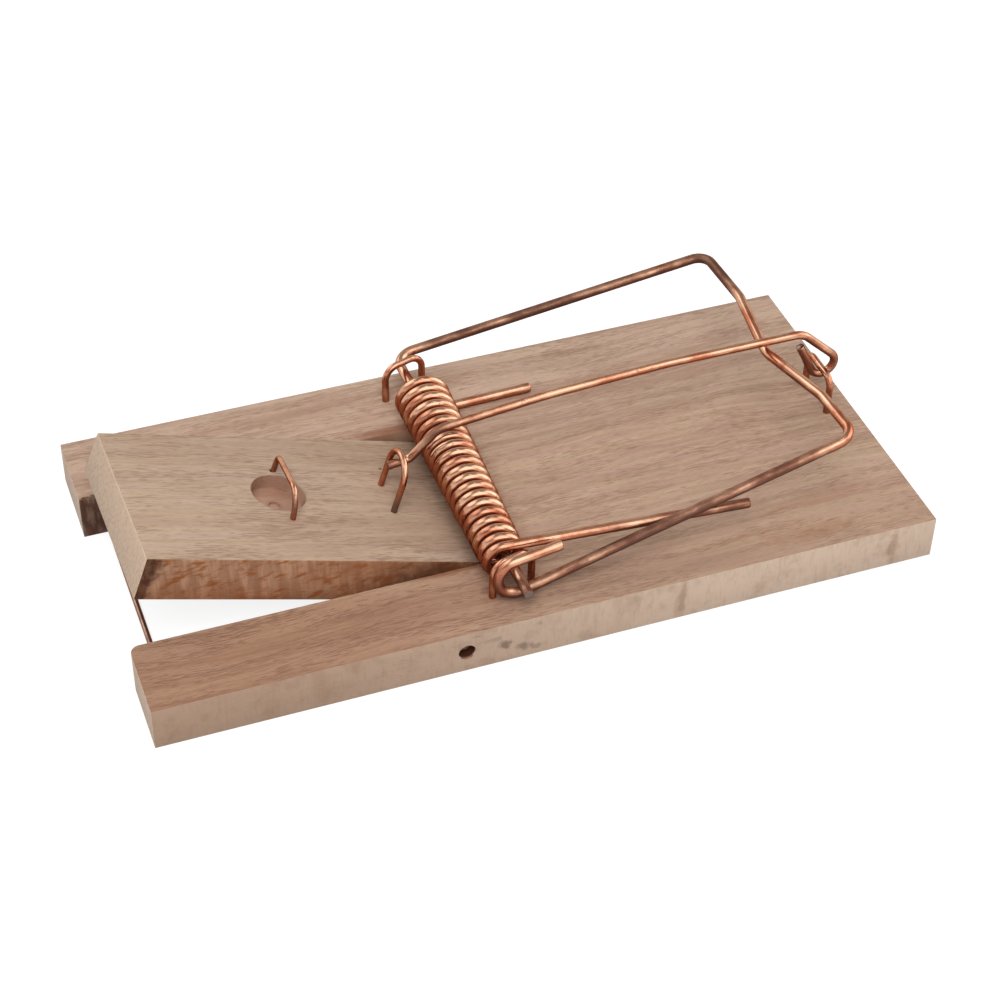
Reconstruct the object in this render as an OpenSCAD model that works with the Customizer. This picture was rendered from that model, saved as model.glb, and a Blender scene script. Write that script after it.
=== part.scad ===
// Wooden snap mouse trap, set: the bow is swung back over the board and the trip bar lies over it.
// Origin: centre of the board's underside. +X runs to the trip bar's staple, +Y to the far rail, +Z up.

/* [Board] */
// Length of the board
board_l = 100; // [95:1:125]
// Width of the board
board_w = 49.5; // [47:0.5:56]
// Thickness of the board
board_t = 6; // [5.5:0.5:8]
// Width of the rail beside the slot on the near side
near_rail_w = 10.9; // [9.5:0.1:12]
// Width of the rail beside the slot on the far side
far_rail_w = 11.6; // [9.5:0.1:13]
// Radius worn on the near rail's inner front corner
rail_corner_r = 1.2; // [0.5:0.1:2.5]

/* [Treadle] */
// Gap between the treadle and the near rail
near_gap = 2.1; // [0.5:0.1:2.5]
// Gap between the treadle and the far rail
far_gap = 0.7; // [0.3:0.1:2]
// Thickness of the treadle
treadle_t = 5.9; // [5:0.1:5.9]
// Distance of the pivot pin behind the board's front
pivot_from_front = 38; // [34:0.5:42]
// Distance that the treadle's front stays behind the board's front when level
front_inset = 0.4; // [0:0.1:3]
// Length of the treadle behind its pivot
treadle_tail = 5.5; // [4:0.1:6]
// Angle that the set treadle is raised by, in degrees
treadle_tilt = 17.2; // [12:0.1:20]
// Diameter of the pivot pin
pin_d = 2.2; // [1.6:0.1:2.4]
// Radial running gap between the pin and the treadle
pin_clearance = 0.05; // [0.02:0.01:0.1]
// Depth that the pin's ends lie inside the rails' outer faces
pin_inset = 1.2; // [1:0.1:4]

/* [Bait] */
// Diameter of the bait recess
recess_d = 7; // [6:0.1:8]
// Depth of the bait recess
recess_depth = 2; // [1.5:0.1:3]
// Distance of the recess in front of the pivot
recess_from_pivot = 17.1; // [14:0.1:22]
// Distance between the bait staple's legs
bait_staple_span = 9.4; // [9:0.1:12]
// Height of the bait staple's near shoulder over the treadle
bait_near_h = 4.4; // [2:0.1:5]
// Height of the bait staple's far shoulder over the treadle
bait_far_h = 2.6; // [1.5:0.1:5]
// Diameter of the bait staple's wire
bait_wire_d = 0.7; // [0.6:0.1:1]

/* [Trigger staple] */
// Distance between the trigger staple's legs
trigger_span = 5.3; // [5:0.1:7]
// Height of the trigger staple's crown over the treadle
trigger_h = 7.1; // [6.5:0.1:9]
// Distance of the trigger staple in front of the pivot
trigger_from_pivot = 2.8; // [2.5:0.1:4]
// Diameter of the trigger staple's wire
trigger_wire_d = 0.8; // [0.6:0.1:1]

/* [Bow] */
// Diameter of the bow's wire
bow_wire_d = 1.3; // [1.2:0.1:1.5]
// Distance of the bow's axle behind the board's front
axle_from_front = 45.3; // [44:0.1:50]
// Height of the axle's centre over the board
axle_h = 3.7; // [3.6:0.1:5]
// Distance from the axle to the bow's cross bar
bow_arm = 44.4; // [40:0.1:44.5]
// Angle of the set bow over the level, in degrees
bow_set_angle = 10.5; // [9:0.1:16]
// Angle that the bow and its axle are turned by on the board, in degrees
bow_turn = 1; // [0:0.1:2]
// Depth of the dip that centres the trip bar in the cross bar
dip_depth = 2.1; // [1:0.1:3]
// Distance that the dip is also set in towards the axle
dip_inset = 0.9; // [0:0.1:2]
// Radius of the eye that the near arm makes round the axle
eye_r = 2.6; // [2.2:0.1:2.7]
// Length of the straight tail on the eye
eye_tail = 5.9; // [4:0.1:9]

/* [Bow staples] */
// Distance between the legs of a bow staple
bow_staple_span = 5.6; // [5.4:0.1:7]
// Diameter of the bow staples' wire
bow_staple_wire_d = 0.9; // [0.7:0.1:1.1]
// Distance from the near staple's centre to the board's near side
near_staple_edge = 5.7; // [5.6:0.05:6.5]
// Distance from the far staple's centre to the board's far side
far_staple_edge = 4.3; // [4.2:0.1:6]
// Angle that the bow staples are turned by from the square across the axle, in degrees
bow_staple_turn = 13; // [0:1:15]

/* [Spring] */
// Diameter of the spring's wire
spring_wire_d = 1.15; // [0.9:0.05:1.2]
// Mean radius of the coil at its far end
coil_far_r = 3; // [2.6:0.05:3.05]
// Mean radius of the coil at its near end
coil_near_r = 2.2; // [2.1:0.05:2.6]
// Advance of the coil in one turn
coil_pitch = 1.6; // [1.6:0.01:1.7]
// Room between the coil's far end and the far staple's middle
coil_far_room = 5.4; // [3:0.1:8]
// Length of the leg that lies on the board
short_leg_l = 15.8; // [10:0.2:20]
// Length of the leg that pushes the bow
long_leg_l = 31.2; // [26:0.2:33]

/* [Trip bar] */
// Diameter of the trip bar's wire
bar_wire_d = 1.1; // [0.9:0.1:1.3]
// Distance from the trip bar's staple to the board's rear
bar_staple_edge = 3.7; // [2.5:0.1:5]
// Height of the trip bar's hinge over the board
bar_hinge_h = 5.3; // [4.5:0.1:6]
// Distance between the legs of the trip bar's staple
bar_staple_span = 6.4; // [5.5:0.1:8]
// Diameter of the trip bar staple's wire
bar_staple_wire_d = 0.9; // [0.7:0.1:1.1]
// Radius of the trip bar's open eye
bar_eye_r = 1.7; // [1.6:0.1:2]
// Length of the tail on the trip bar's eye
bar_tail = 4.8; // [3:0.1:6]

/* [Front stop] */
// Diameter of the wire that stops the treadle
stop_wire_d = 0.7; // [0.5:0.1:1]
// Distance of the stop wire behind the board's front
stop_from_front = 3.3; // [2.5:0.1:6]
// Height of the stop wire's centre over the underside
stop_h = 0.8; // [0.6:0.1:1.4]

/* [Hidden] */
$fn = 24;

// Colours of the woods and of the copper plated wires
beech = [0.74, 0.62, 0.52];
pale_beech = [0.78, 0.66, 0.55];
copper = [0.74, 0.44, 0.32];
dark_copper = [0.48, 0.31, 0.26];

// Extra length of a cut past the face that it opens
over = 1;
// Depth that a staple's legs are driven to
staple_depth = 3.6;

// Board and slot
front_x = -board_l / 2;
rear_x = board_l / 2;
near_y = -board_w / 2;
far_y = board_w / 2;
slot_near_y = near_y + near_rail_w;
slot_far_y = far_y - far_rail_w;
pivot = [front_x + pivot_from_front, board_t / 2];
tail_room = 2;
slot_end_x = pivot[0] + treadle_tail + tail_room;
pin_depth_far = 7;
stop_wire_depth = 3;

// Treadle: its own frame has its origin on the pivot, -X to its front and its plane level
treadle_mid_y = (slot_near_y + near_gap + slot_far_y - far_gap) / 2;
treadle_w = slot_far_y - slot_near_y - near_gap - far_gap;
treadle_l = pivot_from_front - front_inset;
treadle_rise = 0.12;
treadle_top = treadle_t / 2 + treadle_rise;
treadle_under = treadle_t / 2 - treadle_rise;
front_lean = 4.7;
front_skew = 1.2;
near_side_lean = 4.4;
near_side_skew = 0.5;
near_side_hold = 25;
floor_room = 0.3;
dimple_d = 1.5;
dimple_depth = 0.3;
bait_offset_y = 0.8;
bait_staple_back = 0.4;
bait_staple_aside = -0.3;

// The trip bar's upright plane, which runs inside the trigger staple's far leg
bar_y = treadle_mid_y + 1.65;
bar_r = bar_wire_d / 2;
leg_gap = 0.2;
trigger_mid_y = bar_y + bar_r + leg_gap + trigger_wire_d / 2 - trigger_span / 2;

// Bow: the staples sit round its axle, and its eye and its far arm stand outside them.
// The bow, its staples and the spring have a frame of their own, turned about the axle's middle.
axle = [front_x + axle_from_front, board_t + axle_h];
bow_r = bow_wire_d / 2;
axle_end_inset = 0.25;
staple_gap = 0.25;
far_arm_gap = 1.75;
staple_reach = bow_staple_span / 2 * sin(bow_staple_turn) + bow_staple_wire_d / 2;
near_staple_y = near_y + near_staple_edge;
far_staple_y = far_y - far_staple_edge;
eye_y = near_staple_y - staple_reach - staple_gap - bow_r;
far_arm_y = far_staple_y + staple_reach + far_arm_gap + bow_r;
bow_staple_h = axle_h + bow_r + staple_gap + bow_staple_wire_d;
far_staple_rise = 0.4;
near_arm_lean = 1.2;
far_arm_lean = 3.2;
cross_bar_skew = 0.7;
cross_bar_x = axle[0] + bow_arm * cos(bow_set_angle);
cross_bar_z = axle[1] + bow_arm * sin(bow_set_angle);
near_corner = [cross_bar_x + cross_bar_skew, eye_y + near_arm_lean, cross_bar_z];
far_corner = [cross_bar_x - cross_bar_skew, far_arm_y - far_arm_lean, cross_bar_z];
corner_bend = 2.2;
eye_tail_angle = 8.5;
dip_y = bar_y - bow_arm * sin(bow_turn);
dip_far = 9.3;
dip_near = 12.6;

// Trip bar: it hinges on the crown of its own staple and clears the dip in the cross bar
bar_hinge = [rear_x - bar_staple_edge, board_t + bar_hinge_h];
hinge_gap = 0.2;
bar_eye = [
    bar_hinge[0] + 0.25,
    bar_hinge[1] - bar_staple_wire_d / 2 - hinge_gap - bar_r + bar_eye_r
];
bar_gap = 0.45;
bar_level = cross_bar_z - dip_depth + bow_r + bar_gap + bar_r;
bar_level_from_axle = 28.9;
bar_knee_from_axle = 12.7;
bar_knee_drop = 0.84;
bar_fall_angle = 43;
bar_tail_angle = 116;

// Spring: its coil leans a little across the axle, and tapers to its near end
rings_per_turn = 8;
spring_sides = 6;
spring_r = spring_wire_d / 2;
coil_near_y = near_staple_y + 1.25;
coil_turns = floor((far_staple_y - coil_far_room - coil_near_y) / coil_pitch - 0.5);
coil_steps = (coil_turns + 0.5) * rings_per_turn;
coil_far_y = coil_near_y + coil_pitch * coil_steps / rings_per_turn;
coil_lean = 0.5;
coil_top = axle[1] + coil_far_r + spring_r;

// ---- Wires: straight rods joined by round bends ----

function unit(v) = v / norm(v);
function turn_between(a, b) = acos(max(-1, min(1, a * b)));
function side_of(v) = abs(v[1]) < 0.9 ? unit(cross([0, 1, 0], v)) : [1, 0, 0];
function at_y(p, y) = [p[0], y, p[1]];
function heading(angle) = [cos(angle), sin(angle)];

// Where the tangents of a circle in the XZ plane meet, for a wire that turns clockwise round it
function round_corner(centre, r, from, to) =
    centre + r / cos((from - to) / 2) * heading((from + to) / 2 + 90);

// Point of the treadle's own frame, set: its distance in front of the pivot and over its middle
function set_point(ahead, up) =
    pivot + ahead * heading(180 - treadle_tilt) + up * heading(90 - treadle_tilt);

// Its children stand at an origin, with the given X and Z directions
module framed(origin, x, z) {
    y = cross(z, x);
    multmatrix([
        [x[0], y[0], z[0], origin[0]],
        [x[1], y[1], z[1], origin[1]],
        [x[2], y[2], z[2], origin[2]],
        [0, 0, 0, 1]
    ]) children();
}

// A round wire through the corners of a path, each one [point, bend radius].
// Each rod laps over the bend beside it, which is thinner by a hundredth all round.
module wire(path, d) {
    lap = 0.05;
    step = 0.01;
    last = len(path) - 1;
    dir = [for (i = [0:last - 1]) unit(path[i + 1][0] - path[i][0])];
    turn = [for (i = [0:last]) i == 0 || i == last ? 0 : turn_between(dir[i - 1], dir[i])];
    cut = [for (i = [0:last]) turn[i] == 0 ? 0 : path[i][1] * tan(turn[i] / 2) - lap];
    for (i = [0:last - 1]) {
        rod_l = norm(path[i + 1][0] - path[i][0]) - cut[i] - cut[i + 1];
        framed(path[i][0] + dir[i] * cut[i], side_of(dir[i]), dir[i])
            cylinder(h = rod_l, d = d);
    }
    for (i = [1:last - 1]) {
        start = path[i][0] - dir[i - 1] * (cut[i] + lap);
        axis = unit(cross(dir[i - 1], dir[i]));
        inwards = cross(axis, dir[i - 1]);
        framed(start + inwards * path[i][1], -inwards, axis)
            rotate_extrude(angle = turn[i], $fn = 96)
                translate([path[i][1], 0])
                    circle(d = d - 2 * step, $fn = 24);
    }
}

// A staple along Y on the plane z = 0, by the heights of its two shoulders
module staple(span, near_h, far_h, bend, d) {
    wire([
        [[0, -span / 2, -staple_depth], 0],
        [[0, -span / 2, near_h - d / 2], bend],
        [[0, span / 2, far_h - d / 2], bend],
        [[0, span / 2, -staple_depth], 0]
    ], d);
}

// The holes that the legs of a staple are driven into
module staple_holes(span, d) {
    for (side = [-1, 1]) {
        translate([0, side * span / 2, -staple_depth])
            cylinder(h = staple_depth + over, d = d);
    }
}

// ---- Places ----

module on_treadle() {
    translate(at_y(pivot, 0))
        rotate([0, treadle_tilt, 0])
            children();
}

module at_trigger_staple() {
    translate([-trigger_from_pivot, trigger_mid_y, treadle_top]) children();
}

module at_bait() {
    translate([-recess_from_pivot, treadle_mid_y + bait_offset_y, treadle_top]) children();
}

module on_bow() {
    translate([axle[0], 0, 0])
        rotate([0, 0, bow_turn])
            translate([-axle[0], 0, 0])
                children();
}

module at_bow_staple(y) {
    on_bow()
        translate([axle[0], y, board_t])
            rotate([0, 0, bow_staple_turn - 90])
                children();
}

module at_bar_staple() {
    translate([bar_hinge[0], bar_y, board_t]) children();
}

// ---- Pieces ----

// Round hole along Y from the near side, for the pivot pin
module pin_way(d, from, to) {
    translate(at_y(pivot, from))
        rotate([-90, 0, 0])
            cylinder(h = to - from, d = d);
}

module stop_wire_way(from, to) {
    translate([front_x + stop_from_front, from, stop_h])
        rotate([-90, 0, 0])
            cylinder(h = to - from, d = stop_wire_d);
}

// Worn round corner of the near rail, at the slot's mouth
module rail_corner_cut() {
    translate([front_x, slot_near_y, 0])
        difference() {
            translate([-over, -rail_corner_r, -over])
                cube([rail_corner_r + over, rail_corner_r + over, board_t + 2 * over]);
            translate([rail_corner_r, -rail_corner_r, -2 * over])
                cylinder(h = board_t + 4 * over, r = rail_corner_r);
        }
}

module base_board() {
    slot_l = slot_end_x - front_x;
    color(beech)
        difference() {
            translate([front_x, near_y, 0])
                cube([board_l, board_w, board_t]);
            translate([front_x - over, slot_near_y, -over])
                cube([slot_l + over, slot_far_y - slot_near_y, board_t + 2 * over]);
            rail_corner_cut();
            pin_way(pin_d, near_y - over, slot_far_y + pin_depth_far);
            stop_wire_way(slot_near_y - stop_wire_depth, slot_far_y + stop_wire_depth);
            for (y = [near_staple_y, far_staple_y]) {
                at_bow_staple(y)
                    staple_holes(bow_staple_span, bow_staple_wire_d);
            }
            at_bar_staple()
                staple_holes(bar_staple_span, bar_staple_wire_d);
        }
}

// What the slightly askew, leaning cut takes off the treadle's front
module treadle_front_cut() {
    translate([-treadle_l, treadle_mid_y, -treadle_under])
        rotate([0, front_lean, front_skew])
            translate([-3 * over, -treadle_w, -over])
                cube([3 * over, 2 * treadle_w, treadle_t + 2 * over]);
}

// What the saw cut, which leans and runs slightly askew, takes off the treadle's near side.
// It leaves the width as it is at near_side_hold in front of the pivot.
module treadle_near_cut() {
    translate([-near_side_hold, treadle_mid_y - treadle_w / 2, 0])
        rotate([-near_side_lean, 0, -near_side_skew])
            translate([-2 * treadle_l, -3 * over, -treadle_t])
                cube([4 * treadle_l, 3 * over, 2 * treadle_t]);
}

// The tail is bevelled along the floor, so that the raised treadle stays over it
module treadle() {
    floor_drop = pivot[1] - floor_room;
    bevel_x = min(treadle_tail,
        (floor_drop - treadle_under * cos(treadle_tilt)) / sin(treadle_tilt));
    tail_h = max(-treadle_under,
        (treadle_tail * sin(treadle_tilt) - floor_drop) / cos(treadle_tilt));
    color(pale_beech)
        on_treadle()
            difference() {
                translate([0, treadle_mid_y + treadle_w / 2, 0])
                    rotate([90, 0, 0])
                        linear_extrude(treadle_w + over)
                            polygon([
                                [-treadle_l - over, -treadle_under],
                                [bevel_x, -treadle_under],
                                [treadle_tail, tail_h],
                                [treadle_tail, treadle_top],
                                [-treadle_l - over, treadle_top]
                            ]);
                treadle_front_cut();
                treadle_near_cut();
                translate([0, slot_near_y - over, 0])
                    rotate([-90, 0, 0])
                        cylinder(h = treadle_w + 4 * over, d = pin_d + 2 * pin_clearance);
                at_bait() {
                    translate([0, 0, -recess_depth])
                        cylinder(h = recess_depth + over, d = recess_d);
                    translate([0, 0, -recess_depth - dimple_depth])
                        cylinder(h = dimple_depth + over, d = dimple_d);
                    translate([bait_staple_back, bait_staple_aside, 0])
                        staple_holes(bait_staple_span, bait_wire_d);
                }
                at_trigger_staple()
                    staple_holes(trigger_span, trigger_wire_d);
            }
}

module treadle_pivot_pin() {
    color("silver")
        pin_way(pin_d, near_y + pin_inset, slot_far_y + pin_depth_far);
}

module front_stop_wire() {
    color(dark_copper)
        stop_wire_way(slot_near_y - stop_wire_depth, slot_far_y + stop_wire_depth);
}

// Point of the cross bar, by its Y and by the share of the dip's depth that it lies at
function on_cross_bar(y, share) =
    let (along = (y - near_corner[1]) / (far_corner[1] - near_corner[1]))
    near_corner + (far_corner - near_corner) * along - share * [dip_inset, 0, dip_depth];

// One wire: axle, far arm, dipped cross bar, near arm, and the eye back round the axle
module bow() {
    axle_bend = 2.4;
    kink_bend = 4;
    dip_bend = 6;
    reach = [near_corner[0], near_corner[2]] - axle;
    arm_angle = atan2(reach[1], reach[0]) + asin(eye_r / norm(reach));
    eye_in = 180 + arm_angle;
    eye_mid = (eye_in + eye_tail_angle) / 2;
    tail_end = axle + eye_r * heading(eye_tail_angle + 90) + eye_tail * heading(eye_tail_angle);
    color(dark_copper)
        on_bow()
            wire([
                [at_y(axle, near_y + axle_end_inset), 0],
                [at_y(axle, far_arm_y), axle_bend],
                [far_corner, corner_bend],
                [on_cross_bar(dip_y + dip_far, 0), kink_bend],
                [on_cross_bar(dip_y, 1), dip_bend],
                [on_cross_bar(dip_y - dip_near, 0), dip_bend],
                [near_corner, corner_bend],
                [at_y(round_corner(axle, eye_r, eye_in, eye_mid), eye_y), eye_r],
                [at_y(round_corner(axle, eye_r, eye_mid, eye_tail_angle), eye_y), eye_r],
                [at_y(tail_end, eye_y), 0]
            ], bow_wire_d);
}

module near_bow_staple() {
    color(copper)
        at_bow_staple(near_staple_y)
            staple(bow_staple_span, bow_staple_h, bow_staple_h, 1.9, bow_staple_wire_d);
}

module far_bow_staple() {
    color(copper)
        at_bow_staple(far_staple_y)
            staple(bow_staple_span, bow_staple_h, bow_staple_h + far_staple_rise, 1.9,
                bow_staple_wire_d);
}

// From the tip in the trigger staple, over the coil and the cross bar, to the open eye
module trip_bar() {
    crown = set_point(trigger_from_pivot, treadle_top + trigger_h - trigger_wire_d / 2);
    tip_end = crown - [1.4, 2.48];
    tip_bend = crown + [1.45, -2.1];
    coil_gap = 1;
    long_bend = 60;
    over_coil = [axle[0] - 1.8, coil_top + coil_gap + bar_r];
    knee = [axle[0] + bar_knee_from_axle, bar_level - bar_knee_drop];
    level_x = axle[0] + bar_level_from_axle;
    fall = -bar_fall_angle;
    around = bar_tail_angle - 360;
    halfway = (fall + around) / 2;
    fall_start = bar_eye + bar_eye_r * heading(fall + 90);
    fall_l = (bar_level - fall_start[1]) / sin(bar_fall_angle);
    rear_bend = fall_start - fall_l * heading(fall);
    tail_end = bar_eye + bar_eye_r * heading(around + 90) + bar_tail * heading(around);
    color(copper)
        wire([
            [at_y(tip_end, bar_y), 0],
            [at_y(tip_bend, bar_y), 1.2],
            [at_y(over_coil, bar_y), 2.5],
            [at_y(knee, bar_y), long_bend],
            [at_y([level_x, bar_level], bar_y), long_bend],
            [at_y(rear_bend, bar_y), 3],
            [at_y(round_corner(bar_eye, bar_eye_r, fall, halfway), bar_y), bar_eye_r],
            [at_y(round_corner(bar_eye, bar_eye_r, halfway, around), bar_y), bar_eye_r],
            [at_y(tail_end, bar_y), 0]
        ], bar_wire_d);
}

module trip_bar_staple() {
    crown_h = bar_hinge_h + bar_staple_wire_d / 2;
    color(copper)
        at_bar_staple()
            staple(bar_staple_span, crown_h, crown_h, 1.4, bar_staple_wire_d);
}

// Its crown is a half circle
module trigger_staple() {
    color(copper)
        on_treadle()
            at_trigger_staple()
                staple(trigger_span, trigger_h, trigger_h, trigger_span / 2 - 0.05,
                    trigger_wire_d);
}

module bait_staple() {
    color(dark_copper)
        on_treadle()
            at_bait()
                translate([bait_staple_back, bait_staple_aside, 0])
                    staple(bait_staple_span, bait_near_h, bait_far_h, 0.9, bait_wire_d);
}

// ---- Spring: one unbroken tube, its coil in steps of a turn ----

function coil_out(step) = at_y(heading(-90 - 360 * step / rings_per_turn), 0);
function coil_point(step) =
    let (share = step / coil_steps)
    [
        axle[0] + coil_lean * (1 - 2 * share),
        coil_far_y - coil_pitch * step / rings_per_turn,
        axle[1]
    ] + (coil_far_r + (coil_near_r - coil_far_r) * share) * coil_out(step);

long_leg_lean = [0, -2.1, -0.8];
spring_path = [
    [axle[0] + short_leg_l, coil_far_y + 0.3, board_t + spring_r + 0.06],
    for (step = [0:coil_steps]) coil_point(step),
    coil_point(coil_steps) + [long_leg_l, 0, 0] + long_leg_lean
];

// Distance of a point from the straight piece between two others
function from_piece(p, a, b) =
    let (share = max(0, min(1, (p - a) * (b - a) / ((b - a) * (b - a)))))
    norm(p - a - share * (b - a));

// Least distance between the tube's faces where it passes itself, half a turn on or more
function gap_to_itself(path, d) =
    min([
        for (i = [0:len(path) - 1])
            for (j = [0:len(path) - 2])
                if (min(abs(i - j), abs(i - j - 1)) > rings_per_turn / 2)
                    from_piece(path[i], path[j], path[j + 1])
    ]) - d;

// A tube of triangles along a path; out is the direction of each ring's first corner
module tube(path, out, r, sides) {
    last = len(path) - 1;
    rings = [
        for (i = [0:last])
            let (along = unit(path[min(i + 1, last)] - path[max(i - 1, 0)]))
            let (u = unit(out[i] - (out[i] * along) * along))
            let (v = cross(along, u))
            for (k = [0:sides - 1])
                path[i] + r * (cos(360 * k / sides) * u + sin(360 * k / sides) * v)
    ];
    start_cap = [for (k = [1:sides - 2]) [0, k, k + 1]];
    end_cap = [for (k = [1:sides - 2]) [last * sides, last * sides + k + 1, last * sides + k]];
    walls = [
        for (i = [0:last - 1])
            for (k = [0:sides - 1])
                let (a = i * sides + k, b = i * sides + (k + 1) % sides)
                each [[a, a + sides, b], [b, a + sides, b + sides]]
    ];
    polyhedron(points = rings, faces = concat(start_cap, walls, end_cap));
}

module spring() {
    steps = len(spring_path) - 1;
    out = [for (i = [0:steps]) coil_out(max(0, min(coil_steps, i - 1)))];
    echo(str("spring's least gap to itself, mm: ", gap_to_itself(spring_path, spring_wire_d)));
    color(copper)
        on_bow()
            tube(spring_path, out, spring_r, spring_sides);
}

base_board();
treadle();
treadle_pivot_pin();
front_stop_wire();
bow();
spring();
near_bow_staple();
far_bow_staple();
trip_bar();
trip_bar_staple();
trigger_staple();
bait_staple();
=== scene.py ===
"""A wooden snap mouse trap, set: beech board and treadle, copper plated wires, coil spring."""

import math

import bmesh
import bpy
import numpy as np
from mathutils import Matrix, Vector


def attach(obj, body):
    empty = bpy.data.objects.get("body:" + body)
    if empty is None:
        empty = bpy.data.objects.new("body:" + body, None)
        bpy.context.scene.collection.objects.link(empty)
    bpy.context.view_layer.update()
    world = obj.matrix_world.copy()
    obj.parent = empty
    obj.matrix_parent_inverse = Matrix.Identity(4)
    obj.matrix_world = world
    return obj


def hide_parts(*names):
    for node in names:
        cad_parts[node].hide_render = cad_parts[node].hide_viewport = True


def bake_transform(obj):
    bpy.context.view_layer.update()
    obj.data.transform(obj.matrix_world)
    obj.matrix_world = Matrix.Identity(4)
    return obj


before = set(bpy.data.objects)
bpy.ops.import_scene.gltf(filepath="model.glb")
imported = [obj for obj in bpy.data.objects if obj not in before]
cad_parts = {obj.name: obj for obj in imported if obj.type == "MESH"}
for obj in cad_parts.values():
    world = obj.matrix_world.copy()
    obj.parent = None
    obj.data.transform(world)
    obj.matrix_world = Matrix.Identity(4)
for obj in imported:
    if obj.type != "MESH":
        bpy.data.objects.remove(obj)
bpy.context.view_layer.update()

bl_info = {
    "name": "Snap mouse trap",
    "version": (1, 0, 0),
    "blender": (4, 5, 0),
    "location": "3D View > Sidebar > Mouse trap",
    "description": "Builds a set snap mouse trap, piece by piece",
    "category": "Object",
}

MM = 0.001
LEAST_FLAT = 5 * MM * MM  # faces of the woods that are larger than this are shaded flat

# Lesser sizes, in millimetres unless they say otherwise
FAR_RAIL = 11.6  # width of the board's far rail, beside the slot
NEAR_STAPLE_EDGE = 5.7  # from the board's near side to the near bow staple
FAR_STAPLE_EDGE = 4.3  # from the board's far side to the far bow staple
FAR_STAPLE_RISE = 0.4  # of the far staple's far shoulder over its near one
BOW_STAPLE_TURN = 13  # degrees, of both bow staples, seen from above
STAPLE_GAP = 0.25  # between the bow's axle and its staples
HINGE_GAP = 0.2  # between the trip bar's eye and its staple
LEG_GAP = 0.2  # between the trip bar and the trigger staple's leg
BAR_GAP = 0.45  # between the trip bar and the cross bar that it holds
BAR_ASIDE = 1.65  # from the treadle's middle to the trip bar
DIP_DEPTH = 2.1  # of the cross bar where the trip bar lies over it
PIN_INSET = 1.2  # of the pin's end in the board's near side
PIN_BLIND = 4.6  # of wood between the pin and the board's far side
STOP_HEIGHT = 0.8  # of the stop wire over the floor
STOP_ENDS = (8, 8.7)  # from the board's near and far sides to the stop wire's ends
TREADLE_WEAR = 0.25  # width of the worn strip along the treadle's edges
COIL_ROOM = (1.25, 5.4)  # from the near staple to the coil, and at least from the far one
COIL_LEAN = 0.5  # of the coil's ends, forwards and back
SOLID_SPRING_RADIUS = 0.575  # of the spring's wire in the solids, which its neighbours clear
LONG_LEG_LEAN = (-2.1, -0.8)  # across the board and down, at the leg's end
COIL_STEPS = 40  # points in each turn of the coil
SHORT_LEG_STEPS = 12  # points in the spring's short leg
LONG_LEG_STEPS = 24  # points in its long leg
LEAST_WORN_EDGE = 3.0  # shorter edges of the woods stay sharp


# ---- Sizes and colours that a user would change ----


def length(name, description, mm):
    """A size property, written in millimetres and kept in metres."""
    return bpy.props.FloatProperty(
        name=name, description=description, default=mm * MM, unit="LENGTH", precision=5
    )


def degrees(name, description, angle):
    """An angle property, written in degrees and kept in radians."""
    return bpy.props.FloatProperty(
        name=name, description=description, default=math.radians(angle), unit="ROTATION"
    )


def colour(name, description, rgb):
    """A colour property, from sRGB values of 0 to 255."""
    linear = [((c / 255 + 0.055) / 1.055) ** 2.4 for c in rgb]
    return bpy.props.FloatVectorProperty(
        name=name, description=description, default=linear, subtype="COLOR", size=3, min=0, max=1
    )


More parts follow.
